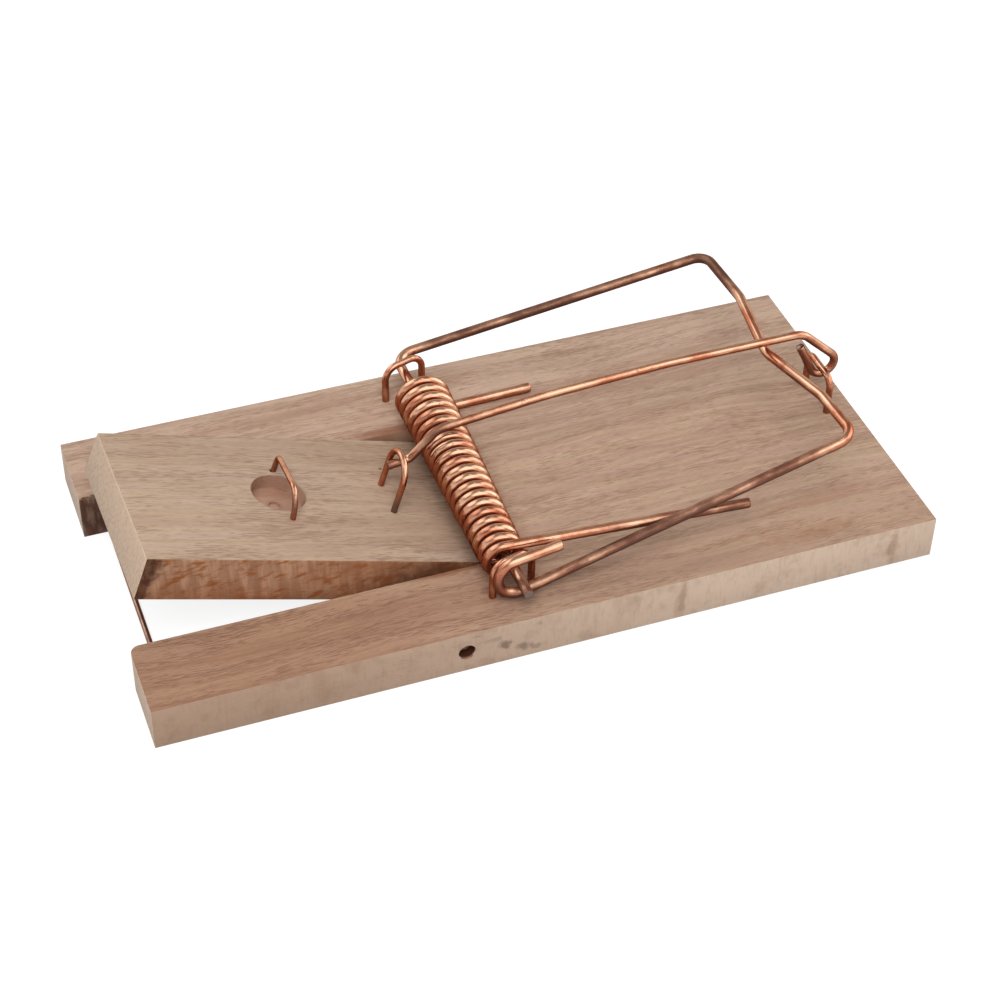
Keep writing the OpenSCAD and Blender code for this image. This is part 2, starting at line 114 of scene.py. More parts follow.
class TrapSizes(bpy.types.PropertyGroup):
    """Sizes of the trap's pieces"""

    board_length: length("Board length", "Length of the board", 100)
    board_width: length("Board width", "Width of the board", 49.5)
    board_thickness: length("Board thickness", "Thickness of the board", 6)
    edge_wear: length("Edge wear", "Width of the worn strip along the board's edges", 0.22)
    pin_diameter: length("Pin diameter", "Diameter of the treadle's pivot pin", 2.2)
    pivot_from_front: length("Pivot", "Distance of the treadle's pivot behind the board's front", 38)
    treadle_tilt: degrees("Treadle tilt", "Angle that the set treadle is raised by", 17.2)
    treadle_thickness: length("Treadle thickness", "Thickness of the treadle", 5.9)
    treadle_rise: length("Treadle rise", "Height of the treadle's middle over its pin", 0.12)
    treadle_middle: length("Treadle middle", "Middle of the treadle across the board", 0.35)
    axle_from_front: length("Axle", "Distance of the bow's axle behind the board's front", 45.3)
    axle_height: length("Axle height", "Height of the axle over the board", 3.7)
    bow_wire: length("Bow wire", "Diameter of the bow's wire", 1.3)
    bow_arm: length("Bow arm", "Distance from the axle to the bow's cross bar", 44.4)
    bow_angle: degrees("Bow angle", "Angle of the set bow over the level", 10.5)
    bow_turn: degrees("Bow turn", "Angle that the bow is turned by on the board", 1)
    eye_radius: length("Bow eye", "Radius of the eye on the bow's near arm", 2.6)
    eye_tail: length("Eye tail", "Length of the tail on the bow's eye", 5.9)
    bow_staple_span: length("Bow staple span", "Distance between a bow staple's legs", 5.6)
    bow_staple_wire: length("Bow staple wire", "Diameter of the bow staples' wire", 0.9)
    spring_wire: length("Spring wire", "Diameter of the spring's wire", 1.28)
    coil_far_radius: length("Coil radius, far", "Mean radius of the coil at its far end", 3)
    coil_near_radius: length("Coil radius, near", "Mean radius of the coil at its near end", 2.2)
    coil_pitch: length("Coil pitch", "Advance of the coil in one turn", 1.6)
    short_leg: length("Short leg", "Length of the spring's leg on the board", 15.8)
    long_leg: length("Long leg", "Length of the spring's leg under the bow", 31.2)
    bar_wire: length("Trip bar wire", "Diameter of the trip bar's wire", 1.1)
    bar_hinge_edge: length("Trip bar hinge", "Distance of the trip bar's hinge from the board's rear", 3.7)
    bar_hinge_height: length("Trip bar hinge height", "Height of the trip bar's hinge over the board", 5.3)
    bar_eye_radius: length("Trip bar eye", "Radius of the trip bar's open eye", 1.7)
    bar_tail: length("Trip bar tail", "Length of the tail on the trip bar's eye", 4.8)
    bar_staple_span: length("Trip bar staple span", "Distance between its legs", 6.4)
    trigger_span: length("Trigger staple span", "Distance between its legs", 5.3)
    trigger_height: length("Trigger staple height", "Height of its crown over the treadle", 7.1)
    trigger_from_pivot: length("Trigger staple place", "Distance in front of the pivot", 2.8)
    trigger_wire: length("Trigger staple wire", "Diameter of its wire", 0.8)
    bait_span: length("Bait staple span", "Distance between its legs", 9.4)
    bait_near_height: length("Bait staple, near", "Height of its near shoulder", 4.4)
    bait_far_height: length("Bait staple, far", "Height of its far shoulder", 2.6)
    bait_lean: length("Bait staple lean", "Distance that its near shoulder leans forward", 0.5)
    bait_wire: length("Bait staple wire", "Diameter of its wire", 0.7)
    bait_from_pivot: length("Bait recess", "Distance of the recess in front of the pivot", 17.1)
    stop_wire: length("Stop wire", "Diameter of the wire that stops the treadle", 0.7)
    stop_from_front: length("Stop wire place", "Distance behind the board's front", 3.3)


class TrapColours(bpy.types.PropertyGroup):
    """Colours of the trap's woods and metals"""

    beech: colour("Beech", "Planed face of the board", (194, 162, 142))
    beech_streak: colour("Beech streak", "Darker streaks along the board's grain", (171, 139, 118))
    # Also the painted shadow of the coil on the treadle.
    beech_fleck: colour("Beech fleck", "Short dark flecks in the grain", (132, 98, 78))
    tan_beech: colour("Tan beech", "Yellower wood between the streaks", (196, 170, 140))
    red_beech: colour("Red beech", "Redder wood of the board's near rail", (172, 134, 109))
    red_streak: colour("Red beech streak", "Darker streaks on the near rail", (148, 108, 84))
    pale_beech: colour("Pale beech", "Top of the treadle", (194, 169, 149))
    pale_streak: colour("Pale beech streak", "Darker streaks along the treadle's grain", (176, 147, 125))
    pale_far: colour("Pale far side", "Wood towards the board's far side", (208, 180, 160))
    end_grain: colour("End grain", "Cross cut ends of both woods", (228, 200, 175))
    dull_side: colour("Dull side", "Sides of the board towards its front", (204, 172, 148))
    pale_side: colour("Pale side", "Sides of the board towards its rear", (250, 222, 198))
    sawn_light: colour("Sawn, light", "Light bands on the treadle's sawn sides", (194, 152, 122))
    sawn_dark: colour("Sawn, dark", "Dark bands on the treadle's sawn sides", (140, 96, 70))
    # Also most of the painted shade on the slot's walls round the pivot.
    saw_mark: colour("Saw mark", "Scorched streaks that the saw left", (150, 88, 48))
    bored: colour("Bored wood", "Wall and floor of the bait recess", (170, 124, 102))
    # Also painted shade in the slot, in the pin's hole and along the pin inside the board.
    scorch: colour("Scorch", "Wood that the cutter burnt", (76, 42, 28))
    bright_copper: colour("Bright copper", "Fresh copper plating", (219, 170, 139))
    # Also the painted warm reflection on the wires' downward faces.
    warm_copper: colour("Warm copper", "Redder copper plating", (184, 112, 82))
    # Also the painted shade on the wires' downward faces.
    tarnish: colour("Tarnish", "Oxidised copper plating", (102, 70, 58))
    bare_steel: colour("Bare steel", "Cut ends and rubbed steel", (120, 104, 96))


def sizes():
    """The sizes in millimetres, by name."""
    group = bpy.context.scene.mouse_trap_sizes
    turned = {"treadle_tilt", "bow_angle", "bow_turn"}
    names = TrapSizes.__annotations__
    return {n: getattr(group, n) * (1 if n in turned else 1 / MM) for n in names}


def colours():
    """The colours as RGBA, by name."""
    group = bpy.context.scene.mouse_trap_colours
    return {n: (*getattr(group, n), 1.0) for n in TrapColours.__annotations__}


# ---- Shader trees ----


class Tree:
    """A node tree, with one short call for each node."""

    def __init__(self, tree):
        self.tree = tree

    def add(self, kind, values=None, **settings):
        node = self.tree.nodes.new(kind)
        for name, value in settings.items():
            setattr(node, name, value)
        for key, value in (values or {}).items():
            socket = node.inputs[key]
            if isinstance(value, bpy.types.NodeSocket):
                self.tree.links.new(value, socket)
            else:
                socket.default_value = value
        return node

    def math(self, operation, a, b=0.0):
        return self.add("ShaderNodeMath", {0: a, 1: b}, operation=operation).outputs[0]

    def times(self, a, b):
        return self.math("MULTIPLY", a, b)

    def plus(self, a, b):
        return self.math("ADD", a, b)

    def minus(self, a, b):
        return self.math("SUBTRACT", a, b)

    def vector(self, operation, a, b=(0, 0, 0)):
        node = self.add("ShaderNodeVectorMath", {0: a, 1: b}, operation=operation)
        return node.outputs["Value" if operation in ("LENGTH", "DOT_PRODUCT", "DISTANCE") else "Vector"]

    def fit(self, value, low, high, to_low=0.0, to_high=1.0, smooth=True):
        """value from low to high, mapped and held to the other two."""
        node = self.add(
            "ShaderNodeMapRange",
            {"Value": value, "From Min": low, "From Max": high, "To Min": to_low, "To Max": to_high},
            interpolation_type="SMOOTHSTEP" if smooth else "LINEAR",
        )
        return node.outputs["Result"]

    def mix(self, factor, a, b):
        return self.add("ShaderNodeMix", {0: factor, 6: a, 7: b}, data_type="RGBA").outputs[2]

    def noise(self, vector, scale, detail, rough=0.5):
        values = {"Vector": vector, "Scale": scale, "Detail": detail, "Roughness": rough}
        return self.add("ShaderNodeTexNoise", values).outputs["Fac"]

    def streaky(self, vector, scale, detail, rough=0.5):
        """Noise that is drawn out by its own scale along each axis."""
        return self.noise(self.stretch(vector, scale), 1.0, detail, rough)

    def stretch(self, vector, scale):
        return self.vector("MULTIPLY", vector, scale)

    def separate(self, vector):
        node = self.add("ShaderNodeSeparateXYZ", {0: vector})
        return node.outputs[0], node.outputs[1], node.outputs[2]

    def combine(self, x, y, z):
        return self.add("ShaderNodeCombineXYZ", {0: x, 1: y, 2: z}).outputs[0]


def shader_group(name, inputs, outputs):
    """An empty node group with named sockets, its tree helper, and its two end nodes."""
    group = bpy.data.node_groups.new(name, "ShaderNodeTree")
    for socket, kind, default in inputs:
        made = group.interface.new_socket(socket, in_out="INPUT", socket_type="NodeSocket" + kind)
        if default is not None:
            made.default_value = default
    for socket, kind in outputs:
        group.interface.new_socket(socket, in_out="OUTPUT", socket_type="NodeSocket" + kind)
    tree = Tree(group)
    return group, tree, tree.add("NodeGroupInput").outputs, tree.add("NodeGroupOutput").inputs


def beech_grain():
    """Streaks, fine fibres and short dark flecks that run along X, from a place in millimetres."""
    name = "Beech grain"
    if name in bpy.data.node_groups:
        return bpy.data.node_groups[name]
    group, t, given, put = shader_group(
        name,
        [("Place", "Vector", None), ("Fleck size", "Float", 1.0), ("Wander", "Float", 1.0)],
        [("Streaks", "Float"), ("Fibres", "Float"), ("Flecks", "Float"), ("Height", "Float")],
    )
    place = given["Place"]
    drift = t.streaky(place, (0.02, 0.05, 0.05), 2.0)
    drift = t.times(t.minus(drift, 0.5), t.times(given["Wander"], 7.0))
    ripple = t.streaky(place, (0.12, 0.3, 0.3), 2.0)
    ripple = t.times(t.minus(ripple, 0.5), t.times(given["Wander"], 0.9))
    x, y, z = t.separate(place)
    laid = t.combine(x, t.plus(y, t.plus(drift, ripple)), z)
    broad = t.streaky(laid, (0.018, 0.34, 0.34), 3.0, 0.55)
    narrow = t.streaky(laid, (0.08, 1.7, 1.7), 3.0, 0.62)
    streaks = t.plus(t.times(broad, 0.5), t.times(narrow, 0.5))
    fibres = t.streaky(laid, (0.35, 6.0, 6.0), 3.0, 0.6)
    speck = t.noise(t.stretch(laid, (0.6, 6.2, 6.2)), given["Fleck size"], 1.5, 0.5)
    dash = t.noise(t.stretch(laid, (1.0, 9.5, 9.5)), given["Fleck size"], 1.0, 0.5)
    crowd = t.streaky(laid, (0.07, 0.5, 0.5), 1.0)
    edge = t.fit(crowd, 0.35, 0.65, 0.6, 0.44)
    flecks = t.fit(t.minus(speck, edge), 0.0, 0.14)
    flecks = t.plus(t.times(flecks, 0.7), t.fit(dash, 0.52, 0.66, 0.0, 0.3))
    height = t.minus(t.times(fibres, 0.5), t.times(flecks, 0.6))
    for socket, value in (("Streaks", streaks), ("Fibres", fibres), ("Flecks", flecks), ("Height", height)):
        group.links.new(value, put[socket])
    return group


def stain_patch():
    """A ragged patch: 1 at its centre, 0 outside its reach, both in millimetres."""
    name = "Stain patch"
    if name in bpy.data.node_groups:
        return bpy.data.node_groups[name]
    group, t, given, put = shader_group(
        name,
        [
            ("Place", "Vector", None),
            ("Centre", "Vector", (0.0, 0.0, 0.0)),
            ("Reach", "Vector", (1.0, 1.0, 1.0)),
            ("Ragged", "Float", 0.4),
            ("Soft", "Float", 0.5),
        ],
        [("Mask", "Float")],
    )
    away = t.vector("DIVIDE", t.vector("SUBTRACT", given["Place"], given["Centre"]), given["Reach"])
    torn = t.noise(given["Place"], 0.9, 4.0, 0.6)
    torn = t.times(t.minus(torn, 0.5), t.times(given["Ragged"], 3.0))
    far = t.plus(t.vector("LENGTH", away), torn)
    mask = t.fit(far, t.minus(1.0, given["Soft"]), 1.0, 1.0, 0.0)
    group.links.new(mask, put["Mask"])
    return group


def copper_plating():
    """Drawn, copper plated wire with tarnish: colour, roughness and height, along and round the wire. Faces
    that look down get painted shade and a painted warm reflection of the wood.
    """
    name = "Copper plating"
    if name in bpy.data.node_groups:
        return bpy.data.node_groups[name]
    group, t, given, put = shader_group(
        name,
        [
            ("Skin", "Vector", None),
            ("Tarnish", "Float", 0.3),
            ("Upward", "Float", 1.0),
            ("Bright", "Color", None),
            ("Warm", "Color", None),
            ("Dark", "Color", None),
        ],
        [("Color", "Color"), ("Roughness", "Float"), ("Height", "Float")],
    )
    skin = given["Skin"]
    cloud = t.streaky(skin, (0.5, 0.5, 0.28), 3.0, 0.6)
    drawn = t.streaky(skin, (4.0, 4.0, 0.22), 3.0, 0.65)
    spots = t.streaky(skin, (1.6, 1.6, 1.3), 4.0, 0.6)
    # painted shade: 1 where the wire faces down at rest, 0 where it faces up
    shade = t.fit(given["Upward"], -0.55, 0.75, 1.0, 0.0)
    worn = t.plus(given["Tarnish"], t.times(t.minus(cloud, 0.5), 1.1))
    worn = t.plus(worn, t.times(t.minus(drawn, 0.5), 0.7))
    # adds the painted shade to the tarnish, so downward faces turn dark
    worn = t.plus(worn, t.times(shade, 0.42))
    tarnish_and_painted_shade = t.fit(worn, 0.25, 1.25)
    # painted warm reflection of the wood on downward faces, on top of the random warmth
    warmth_and_painted_reflection = t.fit(t.plus(cloud, t.times(shade, 0.3)), 0.4, 0.72)
    base = t.mix(warmth_and_painted_reflection, given["Bright"], given["Warm"])
    base = t.mix(tarnish_and_painted_shade, base, given["Dark"])
    pitted = t.fit(spots, 0.62, 0.72, 0.0, 0.55)
    base = t.mix(pitted, base, given["Dark"])
    rough = t.plus(t.fit(tarnish_and_painted_shade, 0.0, 1.0, 0.12, 0.46, False), t.times(drawn, 0.1))
    height = t.plus(t.times(drawn, 0.7), t.times(spots, 0.3))
    for socket, value in (("Color", base), ("Roughness", rough), ("Height", height)):
        group.links.new(value, put[socket])
    return group


def new_material(name, **surface):
    """A material whose Principled BSDF has the given plain values, and its tree."""
    material = bpy.data.materials.new(name)
    material.use_nodes = True
    tree = Tree(material.node_tree)
    principled = material.node_tree.nodes["Principled BSDF"]
    for key, value in surface.items():
        principled.inputs[key.replace("_", " ")].default_value = value
    return material, tree, principled


def place_in_mm(t, origin=(0, 0, 0), turn=(0, 0, 0)):
    """Object coordinates in millimetres, in the frame of a piece that stands at origin and is turned."""
    where = t.add("ShaderNodeTexCoord").outputs["Object"]
    mapping = t.add(
        "ShaderNodeMapping",
        {"Vector": where, "Location": [v * MM for v in origin], "Rotation": turn, "Scale": (MM, MM, MM)},
        vector_type="TEXTURE",
    )
    return mapping.outputs[0]


def patch(t, place, centre, reach, ragged, soft):
    """The mask of one stain patch."""
    values = {"Place": place, "Centre": centre, "Reach": reach, "Ragged": ragged, "Soft": soft}
    return t.add("ShaderNodeGroup", values, node_tree=stain_patch()).outputs["Mask"]


def stained(t, place, base, tint, spots, ragged, soft):
    """A colour with a tint in patches, each of which has a centre, a reach and a depth."""
    for centre, reach, depth in spots:
        spot = patch(t, place, centre, reach, ragged, soft)
        base = t.mix(t.times(spot, depth), base, tint)
    return base


def grain(t, place, fleck_size=1.0, wander=1.0):
    """The outputs of the grain group."""
    values = {"Place": place, "Fleck size": fleck_size, "Wander": wander}
    return t.add("ShaderNodeGroup", values, node_tree=beech_grain()).outputs


def faces_along(t, axis):
    """1 on faces that look along an axis of the piece, either way."""
    normal = t.add("ShaderNodeTexCoord").outputs["Normal"]
    across = t.math("ABSOLUTE", t.vector("DOT_PRODUCT", normal, axis))
    return t.fit(across, 0.6, 0.8)


def join_surface(t, principled, base, rough, height, bump_strength, bump_depth):
    """Joins a colour, a roughness and a height to a Principled BSDF."""
    bump = t.add("ShaderNodeBump", {"Strength": bump_strength, "Distance": bump_depth, "Height": height})
    for socket, value in (("Base Color", base), ("Roughness", rough), ("Normal", bump.outputs[0])):
        t.tree.links.new(value, principled.inputs[socket])


def finish_wood(t, principled, base, height):
    """Joins a wood's colour and height to its Principled BSDF. Its hollows are rougher."""
    rough = t.fit(height, 0.0, 0.6, 0.72, 0.58, False)
    join_surface(t, principled, base, rough, height, 0.35, 0.00012)


def board_top(t, c, place, wood, near):
    """Colour of the planed top: redder on the near rail and paler towards the far side."""
    x, y, _ = t.separate(place)
    near_rail = t.times(t.fit(y, near + 14, near + 9), t.fit(x, 20, -25))
    planed = t.mix(near_rail, c["beech"], c["red_beech"])
    hue = t.fit(t.streaky(place, (0.05, 0.8, 0.8), 2.0), 0.4, 0.6, 0.0, 0.7)
    planed = t.mix(t.times(hue, t.minus(1.0, near_rail)), planed, c["tan_beech"])
    planed = t.mix(t.fit(y, 0, 16, 0.0, 0.45), planed, c["pale_far"])
    darker = t.times(t.fit(y, -12, -20), t.fit(x, -8, 8))
    planed = t.mix(t.times(darker, 0.3), planed, c["red_beech"])
    tone = t.fit(wood["Streaks"], 0.37, 0.65, 0.0, 0.9)
    base = t.mix(tone, planed, t.mix(near_rail, c["beech_streak"], c["red_streak"]))
    base = t.mix(t.fit(wood["Fibres"], 0.4, 0.75, 0.0, 0.3), base, c["beech_streak"])
    depth = t.plus(t.times(near_rail, 0.38), 0.58)
    return t.mix(t.times(wood["Flecks"], depth), base, c["beech_fleck"])


def board_side(t, c, place, fuzz):
    """Colour of the sawn sides: duller towards the front, with bands, blotches and fuzz."""
    bands = t.streaky(place, (0.16, 0.05, 0.04), 3.0, 0.6)
    blotch = t.streaky(place, (0.3, 0.3, 0.3), 4.0, 0.65)
    sawn = t.mix(t.fit(t.separate(place)[0], -42, 35), c["dull_side"], c["pale_side"])
    sawn = t.mix(t.fit(bands, 0.56, 0.68, 0.0, 0.25), sawn, c["red_beech"])
    sawn = t.mix(t.fit(blotch, 0.46, 0.72, 0.0, 0.35), sawn, c["red_beech"])
    return t.mix(t.fit(fuzz, 0.45, 0.8, 0.0, 0.25), sawn, c["red_beech"])


def board_handled(t, c, place, base):
    """The board's colour with its stains and the grime beside the pin."""
    p = layout()
    front, near, top, pivot_x = p["front"], p["near"], p["top"], p["pivot"][0]
    stains = [
        ((front + 65.7, near, 3.0), (0.7, 1.0, 3.6), 0.35),
        ((front + 94.3, near, 3.0), (0.95, 1.0, 3.6), 0.35),
        ((front + 76, -19.9, top), (9, 0.45, 1.0), 0.2),
        ((front + 88, -16.2, top), (11, 1.7, 1.0), 0.2),
        ((front + 84, -21.7, top), (9, 1.7, 1.0), 0.24),
    ]
    base = stained(t, place, base, c["saw_mark"], stains, 0.5, 0.7)
    grime = [
        ((pivot_x + 4.7, near, 2.8), (1.1, 1.0, 1.0), 0.55),
        ((pivot_x + 7.0, near, 1.8), (1.5, 1.0, 0.9), 0.5),
        ((pivot_x + 3.2, near, 4.0), (1.6, 1.0, 0.5), 0.25),
        ((pivot_x + 1.2, near, 5.2), (1.2, 1.0, 0.4), 0.25),
        ((pivot_x + 8.6, near, 1.3), (1.2, 1.0, 0.6), 0.35),
        ((pivot_x + 8.9, near, 5.0), (0.9, 1.0, 0.5), 0.25),
    ]
    return stained(t, place, base, c["scorch"], grime, 0.7, 0.8)


def board_burnt(t, c, place, base):
    """The board's colour with its burnt slot, painted shade on the slot's walls round the pivot and in the
    pin's hole, and the staples' feet.
    """
    p = layout()
    pivot_x, near = p["pivot"][0], p["near"]
    x, y, z = t.separate(place)
    char = t.fit(t.streaky(place, (1.3, 1.0, 0.35), 4.0, 0.65), 0.36, 0.62, 0.68, 0.95)
    burnt = patch(t, place, (p["front"] + 3, p["far"] - FAR_RAIL, 2.5), (7.5, 1.0, 6.5), 0.35, 0.25)
    base = t.mix(t.times(burnt, char), base, c["scorch"])
    # painted shade: the slot's walls round the pivot are darkened, mostly in the saw mark colour
    slot_shade = patch(t, place, (pivot_x + 4, 0, 3), (12, 90, 5.5), 0.1, 0.4)
    slot_shade = t.times(slot_shade, t.fit(t.math("ABSOLUTE", y), 15, 14))
    base = t.mix(t.times(slot_shade, 0.66), base, t.mix(0.6, c["scorch"], c["saw_mark"]))
    # painted shade in the pin's hole: its wall is darkened round the pin
    from_pin = t.combine(t.minus(x, pivot_x), 0.0, t.minus(z, p["pivot"][1]))
    bore = t.fit(t.vector("LENGTH", from_pin), 1.7, 1.5)
    bore = t.times(bore, t.fit(y, near + 0.1, near + 0.5))
    bore = t.times(bore, t.fit(y, 5, 0))
    base = t.mix(bore, base, c["scorch"])
    feet = [
        ((p["axle"][0] + way * 2.7, middle - way * 0.6, p["top"]), (1.0, 1.0, 1.0), 0.55)
        for middle in (p["near_staple_y"], p["far_staple_y"])
        for way in (-1, 1)
    ]
    return stained(t, place, base, c["beech_fleck"], feet, 0.3, 0.6)


def board_beech():
    """Beech of the board: planed top, sawn sides, cross cut ends, burnt slot and handling stains, with
    painted shade in the slot round the pivot and in the pin's hole.
    """
    c = colours()
    material, t, principled = new_material("board_beech", IOR=1.45, Specular_IOR_Level=0.28)
    place = place_in_mm(t)
    wood = grain(t, place)
    side = faces_along(t, (0, 1, 0))
    fuzz = t.streaky(place, (2.6, 1.0, 0.5), 3.0, 0.6)
    base = board_top(t, c, place, wood, layout()["near"])
    base = t.mix(t.times(side, 0.9), base, board_side(t, c, place, fuzz))
    rays = t.streaky(place, (3.0, 3.8, 1.6), 3.0, 0.65)
    cut = t.mix(t.fit(rays, 0.42, 0.72, 0.0, 0.45), c["pale_side"], c["beech_streak"])
    base = t.mix(faces_along(t, (1, 0, 0)), base, cut)
    base = board_handled(t, c, place, base)
    base = board_burnt(t, c, place, base)
    finish_wood(t, principled, base, t.minus(wood["Height"], t.times(t.times(fuzz, side), 0.15)))
    return material


def treadle_top(t, c, place):
    """Colour of the treadle's planed top, and the height of its grain."""
    shifted = t.vector("ADD", place, (310, 47, 21))
    wood = grain(t, shifted, 0.95, 0.7)
    hue = t.fit(t.streaky(shifted, (0.05, 0.8, 0.8), 2.0), 0.4, 0.6, 0.0, 0.6)
    tone = t.fit(wood["Streaks"], 0.38, 0.66, 0.0, 0.9)
    base = t.mix(tone, t.mix(hue, c["pale_beech"], c["tan_beech"]), c["pale_streak"])
    base = t.mix(t.fit(wood["Fibres"], 0.42, 0.78, 0.0, 0.35), base, c["pale_streak"])
    return t.mix(t.times(wood["Flecks"], 0.6), base, c["beech_fleck"]), wood["Height"]


def treadle_side(t, c, place):
    """Colour of the treadle's sawn sides, with leaning saw marks and drips, and the marks."""
    x, y, z = t.separate(place)
    leaning = t.combine(t.plus(x, t.times(z, 0.3)), y, z)
    wander = t.times(t.streaky(place, (0.35, 0.1, 0.35), 1.0), 0.5)
    leaning = t.vector("ADD", leaning, t.combine(wander, 0.0, 0.0))
    marks = t.streaky(leaning, (0.9, 0.1, 0.2), 1.5, 0.55)
    fine = t.streaky(leaning, (3.0, 0.1, 0.45), 2.0, 0.6)
    swept = t.combine(t.plus(x, t.times(z, -1.3)), y, z)
    drips = t.streaky(swept, (0.62, 0.1, 0.95), 2.0, 0.6)
    sawn = t.mix(t.fit(marks, 0.3, 0.7, 0.0, 0.65), c["sawn_light"], c["sawn_dark"])
    sawn = t.mix(t.fit(fine, 0.38, 0.75, 0.0, 0.4), sawn, c["sawn_dark"])
    sawn = t.mix(t.fit(drips, 0.46, 0.7, 0.0, 0.95), sawn, c["saw_mark"])
    sawn = t.mix(t.times(t.fit(z, 0.4, -2.9), 0.4), sawn, c["saw_mark"])
    return t.mix(t.fit(x, -24, -4, 0.0, 0.4), sawn, c["saw_mark"]), marks


def treadle_burnt(t, c, place, base, side):
    """The treadle's colour with its near side burnt at the front and darker low down round the pivot."""
    s = sizes()
    x, y, z = t.separate(place)
    near_face = -11.8
    raked = t.combine(t.minus(x, t.times(z, math.tan(s["treadle_tilt"]))), y, z)
    char = t.fit(t.streaky(place, (1.6, 1.0, 0.6), 4.0, 0.65), 0.36, 0.62, 0.68, 0.97)
    burnt = patch(t, raked, (-s["pivot_from_front"], near_face, 0), (3.3, 5, 12), 0.25, 0.4)
    base = t.mix(t.times(t.times(burnt, side), char), base, c["scorch"])
    # darker low down on the near side round the pivot
    low = patch(t, place, (1.5, near_face, -0.5), (12, 5, 5.5), 0.35, 0.8)
    return t.mix(t.times(t.times(low, side), 0.7), base, c["scorch"])


def treadle_bored(t, c, place, base):
    """The treadle's colour with its bored recess, the ring on the recess's floor and a knot."""
    s = sizes()
    x, y, z = t.separate(place)
    recess_aside, ring_radius = 0.8, 0.85
    from_bore = t.combine(
        t.plus(x, s["bait_from_pivot"]), t.minus(y, s["treadle_middle"] + recess_aside), 0.0
    )
    from_bore = t.vector("LENGTH", from_bore)
    bored = t.times(t.fit(from_bore, 3.95, 3.6), t.fit(z, 3.05, 2.8))
    base = t.mix(t.times(bored, 0.62), base, c["bored"])
    ring = t.fit(t.math("ABSOLUTE", t.minus(from_bore, ring_radius)), 0.45, 0.1)
    base = t.mix(t.times(t.times(ring, bored), 0.25), base, c["beech_fleck"])
    knot = ((-1.8, 6.4, 3.07), (0.3, 0.3, 0.5), 0.75)
    return stained(t, place, base, c["scorch"], [knot], 0.3, 0.6)


def treadle_beech():
    """Beech of the treadle, in its own raised frame: planed top, saw marked and scorched sides, and the
    coil's painted shadow on its top.
    """
    c, s, p = colours(), sizes(), layout()
    tilt = s["treadle_tilt"]
    material, t, principled = new_material("treadle_beech", IOR=1.45, Specular_IOR_Level=0.28)
    place = place_in_mm(t, at_y(p["pivot"], 0), (0, tilt, 0))
    from_middle = t.math("ABSOLUTE", t.minus(t.separate(place)[1], s["treadle_middle"]))
    side = t.times(faces_along(t, (0, 1, 0)), t.fit(from_middle, 11.2, 11.6))
    planed, grain_height = treadle_top(t, c, place)
    sawn, marks = treadle_side(t, c, place)
    base = t.mix(side, planed, sawn)
    rays = t.streaky(place, (3.0, 3.6, 1.8), 3.0, 0.65)
    cut = t.mix(t.fit(rays, 0.4, 0.75, 0.0, 0.55), c["end_grain"], c["pale_streak"])
    base = t.mix(faces_along(t, (math.cos(tilt), 0, -math.sin(tilt))), base, cut)
    base = treadle_burnt(t, c, place, base, side)
    coil_shadow = ((0.8, 4.2, 2.9), (4.6, 7.5, 1.5), 0.3)  # painted shadow of the coil on the treadle's top
    base = stained(t, place, base, c["beech_fleck"], [coil_shadow], 0.2, 0.9)
    base = treadle_bored(t, c, place, base)
    finish_wood(t, principled, base, t.minus(grain_height, t.times(t.times(marks, side), 1.2)))
    return material


def plated_wire(name, extra_tarnish=0.0):
    """Copper plated wire. The piece's own attributes say where its skin is, how tarnished it is and how far
    it faces up, which sets its painted shade.
    """
    c = colours()
    material, t, principled = new_material(name, Metallic=1.0, IOR=1.5)
    principled.inputs["Specular Tint"].default_value = (0.45, 0.3, 0.26, 1)
    skin = t.add("ShaderNodeAttribute", attribute_name="skin").outputs["Vector"]
    tarnish, upward, bare = (
        t.add("ShaderNodeAttribute", attribute_name=key).outputs["Fac"]
        for key in ("tarnish", "upward", "bare")
    )
    values = {
        "Skin": skin,
        "Tarnish": t.plus(tarnish, extra_tarnish),
        "Upward": upward,
        "Bright": c["bright_copper"],
        "Warm": c["warm_copper"],
        "Dark": c["tarnish"],
    }
    plate = t.add("ShaderNodeGroup", values, node_tree=copper_plating()).outputs
    base = t.mix(t.fit(bare, 0.3, 0.9), plate["Color"], c["bare_steel"])
    join_surface(t, principled, base, plate["Roughness"], plate["Height"], 0.25, 0.00006)
    metal = t.fit(plate["Roughness"], 0.12, 0.5, 0.98, 0.7, False)
    t.tree.links.new(metal, principled.inputs["Metallic"])
    return material


def sawn_steel():
    """Steel of the pivot pin: turned marks round it, rust flecks, and painted shade beyond its near end,
    inside the board.
    """
    c, near = colours(), layout()["near"]
    material, t, principled = new_material("pin_steel", Metallic=0.5)
    place = place_in_mm(t)
    rings = t.streaky(place, (0.6, 7.0, 0.6), 3.0, 0.6)
    rust = t.noise(place, 1.4, 4.0, 0.6)
    base = t.mix(t.fit(rust, 0.55, 0.75), c["end_grain"], c["tarnish"])
    # painted shade: the pin is darkened beyond its near end, where it lies in the board
    base = t.mix(t.fit(t.separate(place)[1], near + 2, near + 3), base, c["scorch"])
    join_surface(t, principled, base, t.fit(rings, 0.3, 0.7, 0.3, 0.5), rings, 0.3, 0.00005)
    return material


# ---- Wires: Geometry Nodes sweep a round section along a bent path ----


